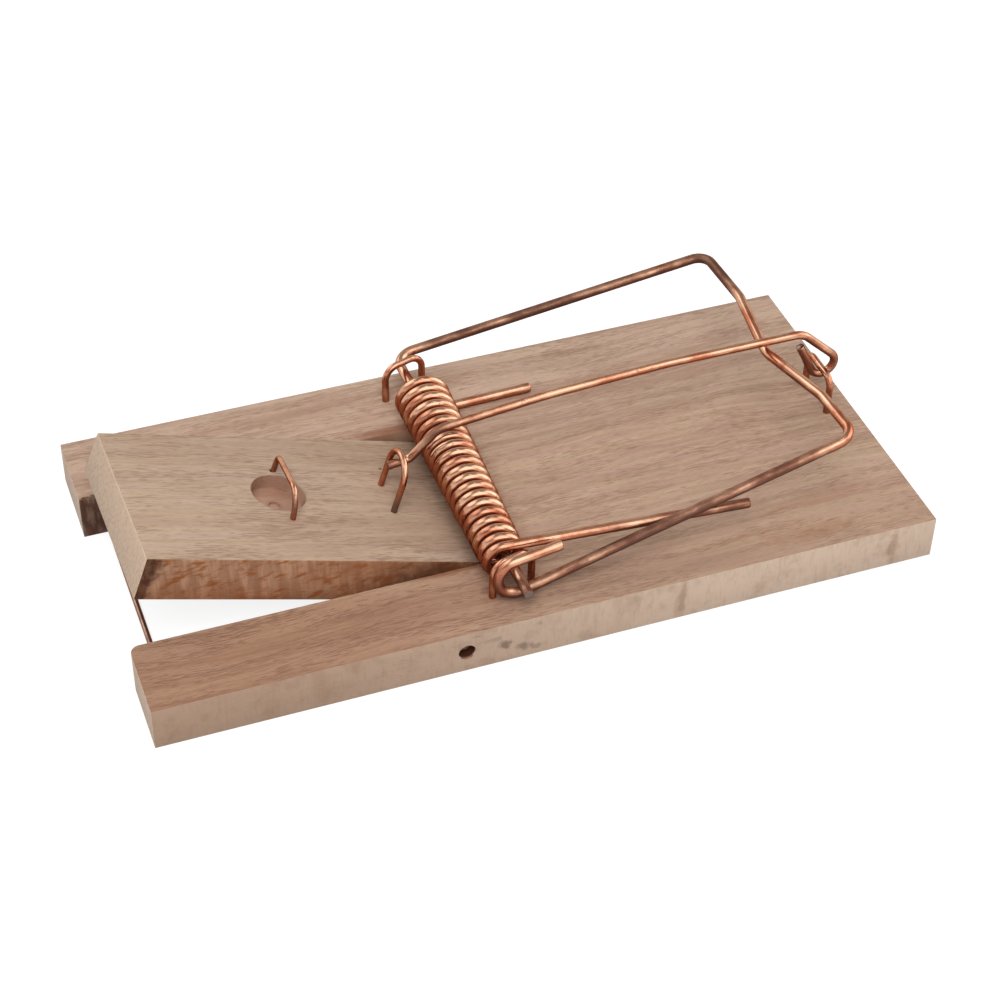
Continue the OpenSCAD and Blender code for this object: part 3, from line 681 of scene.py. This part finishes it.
def wire_sweep():
    """The node tree that turns a line of points into a round wire."""
    name = "Round wire"
    if name in bpy.data.node_groups:
        return bpy.data.node_groups[name]
    group = bpy.data.node_groups.new(name, "GeometryNodeTree")
    face = group.interface
    face.new_socket("Geometry", in_out="INPUT", socket_type="NodeSocketGeometry")
    diameter = face.new_socket("Wire diameter", in_out="INPUT", socket_type="NodeSocketFloat")
    diameter.default_value = 0.001
    sides = face.new_socket("Sides", in_out="INPUT", socket_type="NodeSocketInt")
    sides.default_value = 24
    face.new_socket("Finish", in_out="INPUT", socket_type="NodeSocketMaterial")
    face.new_socket("Geometry", in_out="OUTPUT", socket_type="NodeSocketGeometry")
    t = Tree(group)
    given, put = t.add("NodeGroupInput").outputs, t.add("NodeGroupOutput").inputs

    def store(geometry, name, value, kind):
        values = {"Geometry": geometry, "Name": name, "Value": value}
        return t.add("GeometryNodeStoreNamedAttribute", values, domain="POINT", data_type=kind).outputs[0]

    line = t.add("GeometryNodeMeshToCurve", {"Mesh": given["Geometry"]}).outputs[0]
    run = t.add("GeometryNodeSplineParameter").outputs["Length"]
    line = store(line, "run", run, "FLOAT")
    circle = {"Resolution": given["Sides"], "Radius": t.times(given["Wire diameter"], 0.5)}
    section = t.add("GeometryNodeCurvePrimitiveCircle", circle).outputs[0]
    where = t.add("GeometryNodeInputPosition").outputs[0]
    section = store(section, "section", where, "FLOAT_VECTOR")
    taper = t.add("GeometryNodeInputNamedAttribute", {"Name": "taper"}, data_type="FLOAT").outputs[0]
    sweep = {"Curve": line, "Profile Curve": section, "Scale": taper, "Fill Caps": True}
    swept = t.add("GeometryNodeCurveToMesh", sweep).outputs[0]
    swept = t.add("GeometryNodeRealizeInstances", {"Geometry": swept}).outputs[0]
    swept = t.add("GeometryNodeSetShadeSmooth", {"Geometry": swept}).outputs[0]
    swept = t.add("GeometryNodeSetMaterial", {"Geometry": swept, "Material": given["Finish"]}).outputs[0]
    group.links.new(swept, put["Geometry"])
    return group


def set_input(modifier, name, value):
    """Sets a modifier's input by its socket's identifier."""
    for item in modifier.node_group.interface.items_tree:
        if item.item_type == "SOCKET" and item.in_out == "INPUT" and item.name == name:
            modifier[item.identifier] = value
            return
    raise KeyError(name)


def unit(v):
    """A vector of length 1 that points the same way."""
    return v / np.linalg.norm(v)


def bent_path(corners, step=1.5, bend_step=math.radians(5)):
    """Points of a wire's middle, in millimetres, from [corner, bend radius] pairs."""
    points = [np.array(p, float) for p, _ in corners]
    line = [points[0]]

    def run_to(end):
        start = line[-1]
        count = max(1, int(np.linalg.norm(end - start) / step))
        line.extend(start + (end - start) * (k + 1) / count for k in range(count))

    for i in range(1, len(points) - 1):
        into, out = unit(points[i] - points[i - 1]), unit(points[i + 1] - points[i])
        turn = math.acos(max(-1.0, min(1.0, float(into @ out))))
        if turn < 1e-4:
            run_to(points[i])
            continue
        radius = corners[i][1]
        start = points[i] - into * radius * math.tan(turn / 2)
        inwards = unit(out - into * float(into @ out))
        if np.linalg.norm(start - line[-1]) > 1e-6:
            run_to(start)
        count = max(2, math.ceil(turn / bend_step))
        for k in range(1, count + 1):
            a = turn * k / count
            line.append(start + inwards * radius * (1 - math.cos(a)) + into * radius * math.sin(a))
    run_to(points[-1])
    return np.array(line)


SHEARED = ((0.0, 0.84), (0.045, 0.96), (0.14, 1.0))
DOMED = ((0.0, 0.2), (0.012, 0.4), (0.04, 0.62), (0.09, 0.82), (0.16, 0.95), (0.26, 1.0))


def with_ends(line, diameter, shape):
    """The line with short end steps, and how far each point is drawn in.

    shape is [share of the diameter behind the end, share of the full width] pairs."""
    first, last = unit(line[1] - line[0]), unit(line[-1] - line[-2])
    behind = np.array([[b] for b, _ in shape]) * diameter
    drawn = [width for _, width in shape]
    line = np.vstack([line[0] + behind * first, line[1:-1], line[-1] - behind[::-1] * last])
    taper = np.ones(len(line))
    taper[: len(shape)] = drawn
    taper[-len(shape) :] = drawn[::-1]
    return line, taper


def along(line):
    """Share of a line's length at each of its points."""
    gone = np.concatenate([[0], np.cumsum(np.linalg.norm(np.diff(line, axis=0), axis=1))])
    return gone / gone[-1]


def make_wire(name, line, diameter, material, tarnish, sides=24, ends=SHEARED, rubbed=()):
    """A round wire along a line in millimetres.

    tarnish and rubbed are [share of its length, value] pairs."""
    line, taper = with_ends(line, diameter, ends)
    share = along(line)
    mesh = bpy.data.meshes.new(name + "_line")
    mesh.from_pydata([Vector(p) * MM for p in line], [(i, i + 1) for i in range(len(line) - 1)], [])
    bare = np.interp(share, *zip(*rubbed)) if rubbed else np.zeros(len(line))
    bare[[0, -1]] = 1.0
    values = {
        "taper": taper,
        "tarnish": np.interp(share, [p for p, _ in tarnish], [v for _, v in tarnish]),
        "bare": bare,
    }
    for key, numbers in values.items():
        mesh.attributes.new(key, "FLOAT", "POINT").data.foreach_set("value", np.array(numbers, np.float32))
    guide = bpy.data.objects.new(name + "_line", mesh)
    bpy.context.scene.collection.objects.link(guide)
    modifier = guide.modifiers.new("Round wire", "NODES")
    modifier.node_group = wire_sweep()
    set_input(modifier, "Wire diameter", diameter * MM)
    set_input(modifier, "Sides", sides)
    set_input(modifier, "Finish", material)
    evaluated = guide.evaluated_get(bpy.context.evaluated_depsgraph_get())
    made = bpy.data.meshes.new_from_object(evaluated)
    made.name = name
    wire = bpy.data.objects.new(name, made)
    bpy.context.scene.collection.objects.link(wire)
    bpy.data.objects.remove(guide)
    dress_wire(made)
    return wire


def dress_wire(mesh):
    """Turns a wire's faces outwards and stores the place of its skin and how far it looks up."""
    work = bmesh.new()
    work.from_mesh(mesh)
    if work.calc_volume(signed=True) < 0:
        bmesh.ops.reverse_faces(work, faces=work.faces)
    work.to_mesh(mesh)
    work.free()
    count = len(mesh.vertices)
    section = np.zeros(count * 3, np.float32)
    run = np.zeros(count, np.float32)
    normal = np.zeros(count * 3, np.float32)
    mesh.attributes["section"].data.foreach_get("vector", section)
    mesh.attributes["run"].data.foreach_get("value", run)
    mesh.vertices.foreach_get("normal", normal)
    skin = section.reshape(-1, 3) / MM
    skin[:, 2] = run / MM
    mesh.attributes.new("skin", "FLOAT_VECTOR", "POINT").data.foreach_set("vector", skin.ravel())
    # how far each point faces up at rest; the copper paints shade on downward faces from it
    upward = normal.reshape(-1, 3)[:, 2].copy()
    mesh.attributes.new("upward", "FLOAT", "POINT").data.foreach_set("value", upward)
    for name in ("section", "run", "taper"):
        if name in mesh.attributes:
            mesh.attributes.remove(mesh.attributes[name])
    mesh.set_sharp_from_angle(angle=math.radians(50))


# ---- Paths, in millimetres: X along the board, Y across it, Z up ----


def heading(angle):
    """The unit vector at an angle over the level, in the XZ plane."""
    return np.array([math.cos(angle), math.sin(angle)])


def at_y(p, y):
    """A point of the XZ plane, set at a place across the board."""
    return (p[0], y, p[1])


def round_corner(centre, radius, start, end):
    """Where a circle's tangents meet, for a wire that turns clockwise round it in the XZ plane."""
    middle = (start + end) / 2 + math.pi / 2
    return np.array(centre) + radius / math.cos((start - end) / 2) * heading(middle)


def layout():
    """Places that more than one piece uses."""
    s = sizes()
    front = -s["board_length"] / 2
    near, far = -s["board_width"] / 2, s["board_width"] / 2
    top = s["board_thickness"]
    bar_y = s["treadle_middle"] + BAR_ASIDE
    return {
        "front": front, "near": near, "far": far, "top": top, "bar_y": bar_y,
        "pivot": np.array([front + s["pivot_from_front"], top / 2]),
        "axle": np.array([front + s["axle_from_front"], top + s["axle_height"]]),
        "treadle_top": s["treadle_thickness"] / 2 + s["treadle_rise"],
        "near_staple_y": near + NEAR_STAPLE_EDGE,
        "far_staple_y": far - FAR_STAPLE_EDGE,
    }


def turned_on_bow(points):
    """Points of the bow's own frame, which is turned about the axle's middle."""
    s, p = sizes(), layout()
    c, n = math.cos(s["bow_turn"]), math.sin(s["bow_turn"])
    v = np.array(points, float) - (p["axle"][0], 0, 0)
    return v @ np.array([[c, n, 0], [-n, c, 0], [0, 0, 1]]) + (p["axle"][0], 0, 0)


def bow_corners():
    """Corners of the bow: axle, far arm, dipped cross bar, near arm, eye and tail."""
    s, p = sizes(), layout()
    axle, r = p["axle"], s["bow_wire"] / 2
    near_lean, far_lean, skew, far_arm_gap = 1.2, 3.2, 0.7, 1.75
    dip_inset, dip_far, dip_near = 0.9, 9.3, 12.6
    corner_bend = 2.2
    reach = s["bow_staple_span"] / 2 * math.sin(math.radians(BOW_STAPLE_TURN)) + s["bow_staple_wire"] / 2
    eye_y = p["near_staple_y"] - reach - STAPLE_GAP - r
    far_arm_y = p["far_staple_y"] + reach + far_arm_gap + r
    bar = axle + s["bow_arm"] * heading(s["bow_angle"])
    near = np.array([bar[0] + skew, eye_y + near_lean, bar[1]])
    far = np.array([bar[0] - skew, far_arm_y - far_lean, bar[1]])
    dip_y = p["bar_y"] - s["bow_arm"] * math.sin(s["bow_turn"])

    def on_bar(y, share):
        level = near + (far - near) * (y - near[1]) / (far[1] - near[1])
        return level - share * np.array([dip_inset, 0, DIP_DEPTH])

    to_near = np.array([near[0], near[2]]) - axle
    arm = math.atan2(to_near[1], to_near[0]) + math.asin(s["eye_radius"] / np.linalg.norm(to_near))
    tail = math.radians(8.5)
    middle = (math.pi + arm + tail) / 2
    tail_end = axle + s["eye_radius"] * heading(tail + math.pi / 2) + s["eye_tail"] * heading(tail)
    return [
        [at_y(axle, p["near"] + 0.25), 0],
        [at_y(axle, far_arm_y), 2.4],
        [far, corner_bend],
        [on_bar(dip_y + dip_far, 0), 4],
        [on_bar(dip_y, 1), 6],
        [on_bar(dip_y - dip_near, 0), 6],
        [near, corner_bend],
        [at_y(round_corner(axle, s["eye_radius"], math.pi + arm, middle), eye_y), s["eye_radius"]],
        [at_y(round_corner(axle, s["eye_radius"], middle, tail), eye_y), s["eye_radius"]],
        [at_y(tail_end, eye_y), 0],
    ]


def spring_line():
    """Points of the spring's short leg, tapering coil and long leg, and the coil's two ends."""
    s, p = sizes(), layout()
    axle, pitch = p["axle"], s["coil_pitch"]
    near_room, far_room = COIL_ROOM
    near_y = p["near_staple_y"] + near_room
    turns = math.floor((p["far_staple_y"] - far_room - near_y) / pitch - 0.5) + 0.5
    far_y = near_y + pitch * turns
    steps = int(turns * COIL_STEPS)

    def coil(k):
        share = k / steps
        radius = s["coil_far_radius"] + (s["coil_near_radius"] - s["coil_far_radius"]) * share
        x, z = heading(-math.pi / 2 - 2 * math.pi * k / COIL_STEPS) * radius
        middle_x = axle[0] + COIL_LEAN * (1 - 2 * share)
        return np.array([middle_x + x, far_y - pitch * k / COIL_STEPS, axle[1] + z])

    first, last = coil(0), coil(steps)
    start = np.array([axle[0] + s["short_leg"], far_y + 0.3, p["top"] + SOLID_SPRING_RADIUS + 0.06])
    end = last + (s["long_leg"], *LONG_LEG_LEAN)
    short = [start + (first - start) * k / SHORT_LEG_STEPS for k in range(SHORT_LEG_STEPS)]
    long = [last + (end - last) * (k + 1) / LONG_LEG_STEPS for k in range(LONG_LEG_STEPS)]
    return turned_on_bow(short + [coil(k) for k in range(steps + 1)] + long), first, last


def staple_corners(span, near_height, far_height, bend, diameter):
    """Corners of a staple along Y on the plane z = 0."""
    r, half, depth = diameter / 2, span / 2, 3.4
    return [
        [(0, -half, -depth), 0],
        [(0, -half, near_height - r), bend],
        [(0, half, far_height - r), bend],
        [(0, half, -depth), 0],
    ]


def bait_corners():
    """Corners of the bait staple, whose near shoulder leans forward from its foot."""
    s = sizes()
    near_end, near, far, far_end = staple_corners(
        s["bait_span"], s["bait_near_height"], s["bait_far_height"], 0.9, s["bait_wire"]
    )
    (_, near_y, near_z), (_, far_y, far_z) = near[0], far[0]
    return [
        near_end,
        [(0, near_y, 0.05), 0.4],
        [(-s["bait_lean"], near_y, near_z), 2.0],
        [(0.3, far_y, far_z), far[1]],
        far_end,
    ]


def placed(line, origin, about_z=0.0, about_y=0.0):
    """A line turned about Z, then about Y, and moved to its place."""
    turn = Matrix.Rotation(about_y, 3, "Y") @ Matrix.Rotation(about_z, 3, "Z")
    return np.array(line) @ np.array(turn).T + np.array(origin, float)


def on_treadle(points):
    """Points of the treadle's own frame, moved to where the set treadle holds them."""
    s, p = sizes(), layout()
    return placed(points, at_y(p["pivot"], 0), 0.0, s["treadle_tilt"])


def trip_bar_corners():
    """Corners of the trip bar from its tip to its eye's tail, and the hinge that it turns on."""
    s, p = sizes(), layout()
    tilt, up = s["treadle_tilt"], p["treadle_top"] + s["trigger_height"] - s["trigger_wire"] / 2
    crown = p["pivot"] + s["trigger_from_pivot"] * heading(math.pi - tilt) + up * heading(math.pi / 2 - tilt)
    axle, r, y = p["axle"], s["bar_wire"] / 2, p["bar_y"]
    level_from_axle, knee_from_axle, knee_drop, slight_bend = 28.9, 12.7, 0.84, 60
    over_coil_gap = 1
    hinge = np.array([-p["front"] - s["bar_hinge_edge"], p["top"] + s["bar_hinge_height"]])
    eye_radius = s["bar_eye_radius"]
    eye = hinge + (0.25, eye_radius - s["bow_staple_wire"] / 2 - HINGE_GAP - r)
    cross_bar = axle + s["bow_arm"] * heading(s["bow_angle"])
    level = cross_bar[1] - DIP_DEPTH + s["bow_wire"] / 2 + BAR_GAP + r
    fall, around = math.radians(-43), math.radians(116 - 360)
    halfway = (fall + around) / 2
    fall_start = eye + eye_radius * heading(fall + math.pi / 2)
    rear = fall_start - (level - fall_start[1]) / math.sin(-fall) * heading(fall)
    tail = eye + eye_radius * heading(around + math.pi / 2) + s["bar_tail"] * heading(around)
    coil_top = axle[1] + s["coil_far_radius"] + SOLID_SPRING_RADIUS
    path = [
        [crown - (1.4, 2.48), 0],
        [crown + (1.45, -2.1), 1.2],
        [(axle[0] - 1.8, coil_top + over_coil_gap + r), 2.5],
        [(axle[0] + knee_from_axle, level - knee_drop), slight_bend],
        [(axle[0] + level_from_axle, level), slight_bend],
        [rear, 3],
        [round_corner(eye, eye_radius, fall, halfway), eye_radius],
        [round_corner(eye, eye_radius, halfway, around), eye_radius],
        [tail, 0],
    ]
    return [[at_y(point, y), bend] for point, bend in path], hinge


# ---- Woods: copies of the solids with worn edges ----


def worn_copy(name, node, width, material):
    """A copy of a wooden node with its long edges rounded over."""
    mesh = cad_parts[node].data.copy()
    mesh.name = name
    if "custom_normal" in mesh.attributes:
        mesh.attributes.remove(mesh.attributes["custom_normal"])
    work = bmesh.new()
    work.from_mesh(mesh)
    bmesh.ops.remove_doubles(work, verts=work.verts, dist=1e-7)
    bmesh.ops.dissolve_limit(work, angle_limit=math.radians(0.5), verts=work.verts, edges=work.edges)
    sharp = [
        e for e in work.edges
        if len(e.link_faces) == 2
        and e.calc_length() > LEAST_WORN_EDGE * MM
        and e.calc_face_angle(0) > math.radians(40)
    ]
    worn = bmesh.ops.bevel(
        work, geom=sharp, offset=width * MM, offset_type="OFFSET", segments=3, profile=0.5,
        affect="EDGES", clamp_overlap=True,
    )["faces"]
    for face in work.faces:
        face.smooth = face.calc_area() < LEAST_FLAT
    for face in worn:
        face.smooth = True
    bmesh.ops.triangulate(work, faces=[f for f in work.faces if len(f.verts) > 4])
    work.to_mesh(mesh)
    work.free()
    mesh.materials.clear()
    mesh.materials.append(material)
    mesh.set_sharp_from_angle(angle=math.radians(35))
    wood = bpy.data.objects.new(name, mesh)
    bpy.context.scene.collection.objects.link(wood)
    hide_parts(node)
    return wood


class TRAP_OT_board(bpy.types.Operator):
    """Makes the board, its pivot pin and the wire that stops the treadle"""

    bl_idname = "mouse_trap.board"
    bl_label = "Board"

    def execute(self, context):
        s, p = sizes(), layout()
        board = worn_copy("board", "base_board", s["edge_wear"], board_beech())
        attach(board, "base")
        pin_ends = (p["near"] + PIN_INSET, p["far"] - PIN_BLIND)
        line = bent_path([[at_y(p["pivot"], y), 0] for y in pin_ends])
        pin = make_wire("pivot_pin", line, s["pin_diameter"], sawn_steel(), [(0, 0), (1, 0)], 32, DOMED)
        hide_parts("treadle_pivot_pin")
        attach(pin, "base")
        x = p["front"] + s["stop_from_front"]
        stop_ends = (p["near"] + STOP_ENDS[0], p["far"] - STOP_ENDS[1])
        line = bent_path([[(x, y, STOP_HEIGHT), 0] for y in stop_ends])
        copper, even = plated_wire("stop_wire_copper"), [(0, 0.6), (1, 0.6)]
        stop = make_wire("stop_wire", line, s["stop_wire"], copper, even, 16, rubbed=even)
        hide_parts("front_stop_wire")
        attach(stop, "base")
        return {"FINISHED"}


class TRAP_OT_treadle(bpy.types.Operator):
    """Makes the treadle with its bait staple and its trigger staple"""

    bl_idname = "mouse_trap.treadle"
    bl_label = "Treadle"

    def execute(self, context):
        s, p = sizes(), layout()
        treadle = worn_copy("treadle_plate", "treadle", TREADLE_WEAR, treadle_beech())
        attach(treadle, "treadle")
        copper, top = plated_wire("trigger_copper"), p["treadle_top"]
        span, height, wire = s["trigger_span"], s["trigger_height"], s["trigger_wire"]
        trigger_y = p["bar_y"] + s["bar_wire"] / 2 + LEG_GAP + wire / 2 - span / 2
        shape = staple_corners(span, height, height, span / 2 - 0.05, wire)
        line = on_treadle(bent_path(shape) + (-s["trigger_from_pivot"], trigger_y, top))
        tarnish = [(0, 0.5), (0.3, 0.15), (0.4, 0.0), (0.5, -0.3), (0.62, 0.0), (0.75, 0.15), (1, 0.2)]
        rubbed = [(0, 0.8), (0.255, 0.8), (0.265, 0)]
        trigger = make_wire("trigger_loop", line, wire, copper, tarnish, rubbed=rubbed)
        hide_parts("trigger_staple")
        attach(trigger, "treadle")
        behind_recess, aside = 0.4, 0.5
        bait_place = (behind_recess - s["bait_from_pivot"], s["treadle_middle"] + aside, top)
        line = on_treadle(bent_path(bait_corners()) + bait_place)
        tarnish = [
            (0, 0.3), (0.2, 0.35), (0.27, 0.9), (0.33, 0.6), (0.37, 0.2),
            (0.5, 0.25), (0.7, 0.3), (0.78, 0.6), (1, 0.5),
        ]
        bait = make_wire("bait_loop", line, s["bait_wire"], copper, tarnish, 20)
        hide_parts("bait_staple")
        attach(bait, "treadle")
        return {"FINISHED"}


class TRAP_OT_bow(bpy.types.Operator):
    """Makes the bow and the two staples that hold its axle"""

    bl_idname = "mouse_trap.bow"
    bl_label = "Bow"

    def execute(self, context):
        s, p = sizes(), layout()
        line = turned_on_bow(bent_path(bow_corners()))
        tarnish = [
            (0, 0.9), (0.02, 0.55), (0.23, 0.3), (0.25, 0.45), (0.28, 0.9), (0.34, 1.0),
            (0.4, 0.85), (0.45, 0.75), (0.48, 1.0), (0.515, 0.9), (0.53, 0.55), (0.55, -0.2),
            (0.585, -0.3), (0.605, 0.5), (0.65, 0.5), (0.685, 0.0), (0.7, 0.35), (0.72, 0.75),
            (0.78, 0.85), (0.84, 0.95), (0.89, 0.8), (0.93, 0.65), (0.96, 0.3), (1, 0.25),
        ]
        bow = make_wire("bow_wire", line, s["bow_wire"], plated_wire("bow_copper"), tarnish, 28)
        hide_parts("bow")
        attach(bow, "bow")
        copper, wire = plated_wire("staple_copper", 0.1), s["bow_staple_wire"]
        height = s["axle_height"] + s["bow_wire"] / 2 + STAPLE_GAP + wire
        for name, node, y, rise in (
            ("near_loop", "near_bow_staple", p["near_staple_y"], 0.0),
            ("far_loop", "far_bow_staple", p["far_staple_y"], FAR_STAPLE_RISE),
        ):
            shape = staple_corners(s["bow_staple_span"], height, height + rise, 1.9, wire)
            turn = math.radians(BOW_STAPLE_TURN - 90)
            line = placed(bent_path(shape), (p["axle"][0], y, p["top"]), turn)
            tarnish = [(0, 0.3), (0.3, 0.2), (0.42, 0.0), (0.6, 0.0), (0.75, 0.15), (1, 0.3)]
            loop = make_wire(name, turned_on_bow(line), wire, copper, tarnish)
            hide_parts(node)
            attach(loop, "base")
        return {"FINISHED"}


class TRAP_OT_spring(bpy.types.Operator):
    """Makes the coil spring"""

    bl_idname = "mouse_trap.spring"
    bl_label = "Spring"

    def execute(self, context):
        line, first, last = spring_line()
        long_leg = along(line)[-LONG_LEG_STEPS]
        tarnish = [(0, 0.1), (0.01, -0.3), (0.045, -0.3), (0.07, 0.2), (long_leg, 0.2), (0.97, 0.6), (1, 0.7)]
        wire = sizes()["spring_wire"]
        spring = make_wire("coil_spring", line, wire, plated_wire("spring_copper"), tarnish, 20)
        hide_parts("spring")
        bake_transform(spring)
        return {"FINISHED"}


class TRAP_OT_trip_bar(bpy.types.Operator):
    """Makes the trip bar and its staple"""

    bl_idname = "mouse_trap.trip_bar"
    bl_label = "Trip bar"

    def execute(self, context):
        s, p = sizes(), layout()
        copper = plated_wire("trip_bar_copper")
        corners, hinge = trip_bar_corners()
        tarnish = [
            (0, 0.75), (0.03, 0.35), (0.06, 0.6), (0.1, 0.85), (0.14, 0.5), (0.3, 0.35),
            (0.4, 0.1), (0.7, 0.0), (0.76, 0.3), (0.82, 0.5), (1, 0.5),
        ]
        bar = make_wire("trip_wire", bent_path(corners), s["bar_wire"], copper, tarnish)
        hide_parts("trip_bar")
        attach(bar, "trip_bar")
        wire = s["bow_staple_wire"]
        crown = s["bar_hinge_height"] + wire / 2
        shape = staple_corners(s["bar_staple_span"], crown, crown, 1.4, wire)
        line = placed(bent_path(shape), (hinge[0], p["bar_y"], p["top"]))
        tarnish = [(0, 0.6), (0.35, 0.35), (0.5, 0.1), (0.65, 0.3), (1, 0.6)]
        loop = make_wire("rear_loop", line, wire, copper, tarnish)
        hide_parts("trip_bar_staple")
        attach(loop, "base")
        return {"FINISHED"}


class TRAP_OT_stage(bpy.types.Operator):
    """Makes the pale floor, the lights and the camera"""

    bl_idname = "mouse_trap.stage"
    bl_label = "Stage"

    def execute(self, context):
        make_floor()
        make_lights()
        make_camera()
        return {"FINISHED"}


def seen_straight_or_mirrored(t):
    """1 for rays that show the background: from the camera, mirrored, or through glass."""
    path = t.add("ShaderNodeLightPath").outputs
    seen = t.math("MAXIMUM", path["Is Camera Ray"], path["Is Glossy Ray"])
    return t.math("MAXIMUM", seen, path["Is Transmission Ray"])


def floor_glow(t):
    """How much the floor glows: less round the trap, and hardly under the board behind the pivot, which
    paints a shadow there.
    """
    p = layout()
    place = place_in_mm(t)
    x, y, _ = t.separate(place)
    # painted shadow: the glow is cut where the board's rear covers the floor
    under = t.times(t.fit(x, p["pivot"][0] - 3, p["pivot"][0]), t.fit(x, -p["front"] - 2, -p["front"] - 4))
    under = t.times(under, t.fit(t.math("ABSOLUTE", y), p["far"] - 3, p["far"] - 5))
    lit = t.fit(t.vector("LENGTH", place), 120, 400, 0.84, 1.0)
    return t.times(lit, t.fit(under, 0.0, 1.0, 1.0, 0.04))


def make_floor():
    """A plain pale floor that keeps the trap's shadow, and a painted shadow under the board's rear."""
    mesh = bpy.data.meshes.new("floor")
    reach, low = 3.0, -0.00005
    corners = [(x * reach, y * reach, low) for x, y in ((-1, -1), (1, -1), (1, 1), (-1, 1))]
    mesh.from_pydata(corners, [], [(0, 1, 2, 3)])
    floor = bpy.data.objects.new("floor", mesh)
    bpy.context.scene.collection.objects.link(floor)
    material, t, principled = new_material("floor_paper", Roughness=0.9, Specular_IOR_Level=0.0)
    principled.inputs["Base Color"].default_value = (0.3, 0.3, 0.3, 1)
    principled.inputs["Emission Strength"].default_value = 1.0
    glow = t.times(seen_straight_or_mirrored(t), floor_glow(t))
    t.tree.links.new(t.combine(glow, glow, glow), principled.inputs["Emission Color"])
    mesh.materials.append(material)


DIM_SKY = 0.36  # strength of the mirrored sky overhead
BACKDROP = 1.0  # strength of the mirrored sky near the level
# Direction, radius of the even core and of the faded rim in degrees, and strength added to the sky
SOFT_BOXES = (
    ((0.87, -0.05, 0.5), 18, 34, 1.75),
    ((-0.61, 0.15, 0.74), 12, 26, 1.3),
    ((0.15, 0.1, 0.98), 2, 7, 2.3),
    ((0.12, -0.63, 0.77), 15, 38, 1.8),
    ((-0.42, 0.7, 0.58), 8, 24, 1.8),
)


def soft_box(t, direction, centre, core, rim):
    """1 within core degrees of a direction of the sky, falling to 0 at rim degrees."""
    near = t.vector("DOT_PRODUCT", direction, unit(np.array(centre)).tolist())
    return t.fit(near, math.cos(math.radians(rim)), math.cos(math.radians(core)))


def mirrored_sky(t):
    """Strength of the sky for mirrored rays: dim overhead, paler near the level, with soft boxes."""
    direction = t.add("ShaderNodeTexCoord").outputs["Generated"]
    height = t.separate(direction)[2]
    light = t.fit(height, math.sin(math.radians(16)), math.sin(math.radians(32)), BACKDROP, DIM_SKY)
    for centre, core, rim, strength in SOFT_BOXES:
        box = soft_box(t, direction, centre, core, rim)
        light = t.plus(light, t.times(box, strength))
    return light


def make_lights():
    """A soft even sky, a large lamp over the trap's near side and a weaker one over its far side."""
    scene = bpy.context.scene
    world = bpy.data.worlds.new("studio")
    world.use_nodes = True
    scene.world = world
    t = Tree(world.node_tree)
    world.node_tree.nodes.clear()
    soft = t.add("ShaderNodeBackground", {"Color": (1, 1, 1, 1), "Strength": 0.4})
    seen = t.add("ShaderNodeBackground", {"Color": (1, 1, 1, 1), "Strength": 1.0})
    path = t.add("ShaderNodeLightPath").outputs
    mirrored = t.times(path["Is Glossy Ray"], mirrored_sky(t))
    strength = t.plus(mirrored, t.minus(1.0, path["Is Glossy Ray"]))
    t.tree.links.new(strength, seen.inputs["Strength"])
    skies = {0: seen_straight_or_mirrored(t), 1: soft.outputs[0], 2: seen.outputs[0]}
    both = t.add("ShaderNodeMixShader", skies)
    out = t.add("ShaderNodeOutputWorld", {"Surface": both.outputs[0]})
    out.is_active_output = True
    lamps = [
        ("key_lamp", (-0.15, -0.38, 0.62), 0.45, 3.4),
        ("top_lamp", (0.1, 0.25, 0.7), 0.5, 1.0),
    ]
    for name, where, size, power in lamps:
        lamp = bpy.data.lights.new(name, "AREA")
        lamp.shape = "DISK"
        lamp.size = size
        lamp.energy = power
        holder = bpy.data.objects.new(name, lamp)
        holder.location = where
        holder.rotation_euler = (-Vector(where)).to_track_quat("-Z", "Y").to_euler()
        holder.visible_glossy = False
        scene.collection.objects.link(holder)


def make_camera():
    """The camera, which looks down on the trap from its near front corner."""
    scene = bpy.context.scene
    lens = bpy.data.cameras.new("camera")
    lens.sensor_width = 36
    lens.lens = 81.86
    lens.clip_start = 0.01
    camera = bpy.data.objects.new("camera", lens)
    eye = Vector((-75.879, -202.799, 195.484)) * MM
    right = Vector((0.93963, -0.34184, 0.01560))
    down = Vector((-0.21629, -0.62863, -0.74702))
    look = Vector((0.26516, 0.69855, -0.66462))
    turn = Matrix((right, -down, -look)).transposed().to_4x4()
    camera.matrix_world = Matrix.Translation(eye) @ turn
    scene.collection.objects.link(camera)
    scene.camera = camera
    scene.view_settings.view_transform = "Standard"


STEPS = (TRAP_OT_board, TRAP_OT_treadle, TRAP_OT_bow, TRAP_OT_spring, TRAP_OT_trip_bar, TRAP_OT_stage)


class TRAP_PT_panel(bpy.types.Panel):
    """Lists the steps that build the trap"""

    bl_idname = "TRAP_PT_panel"
    bl_label = "Mouse trap"
    bl_space_type = "VIEW_3D"
    bl_region_type = "UI"
    bl_category = "Mouse trap"

    def draw(self, context):
        for step in STEPS:
            self.layout.operator(step.bl_idname)


CLASSES = (TrapSizes, TrapColours, *STEPS, TRAP_PT_panel)


def register():
    for cls in CLASSES:
        bpy.utils.register_class(cls)
    bpy.types.Scene.mouse_trap_sizes = bpy.props.PointerProperty(type=TrapSizes)
    bpy.types.Scene.mouse_trap_colours = bpy.props.PointerProperty(type=TrapColours)


def unregister():
    del bpy.types.Scene.mouse_trap_colours
    del bpy.types.Scene.mouse_trap_sizes
    for cls in reversed(CLASSES):
        bpy.utils.unregister_class(cls)


def main():
    """Builds the trap."""
    register()
    for step in STEPS:
        group, name = step.bl_idname.split(".")
        getattr(getattr(bpy.ops, group), name)()


if __name__ == "__main__":
    main()
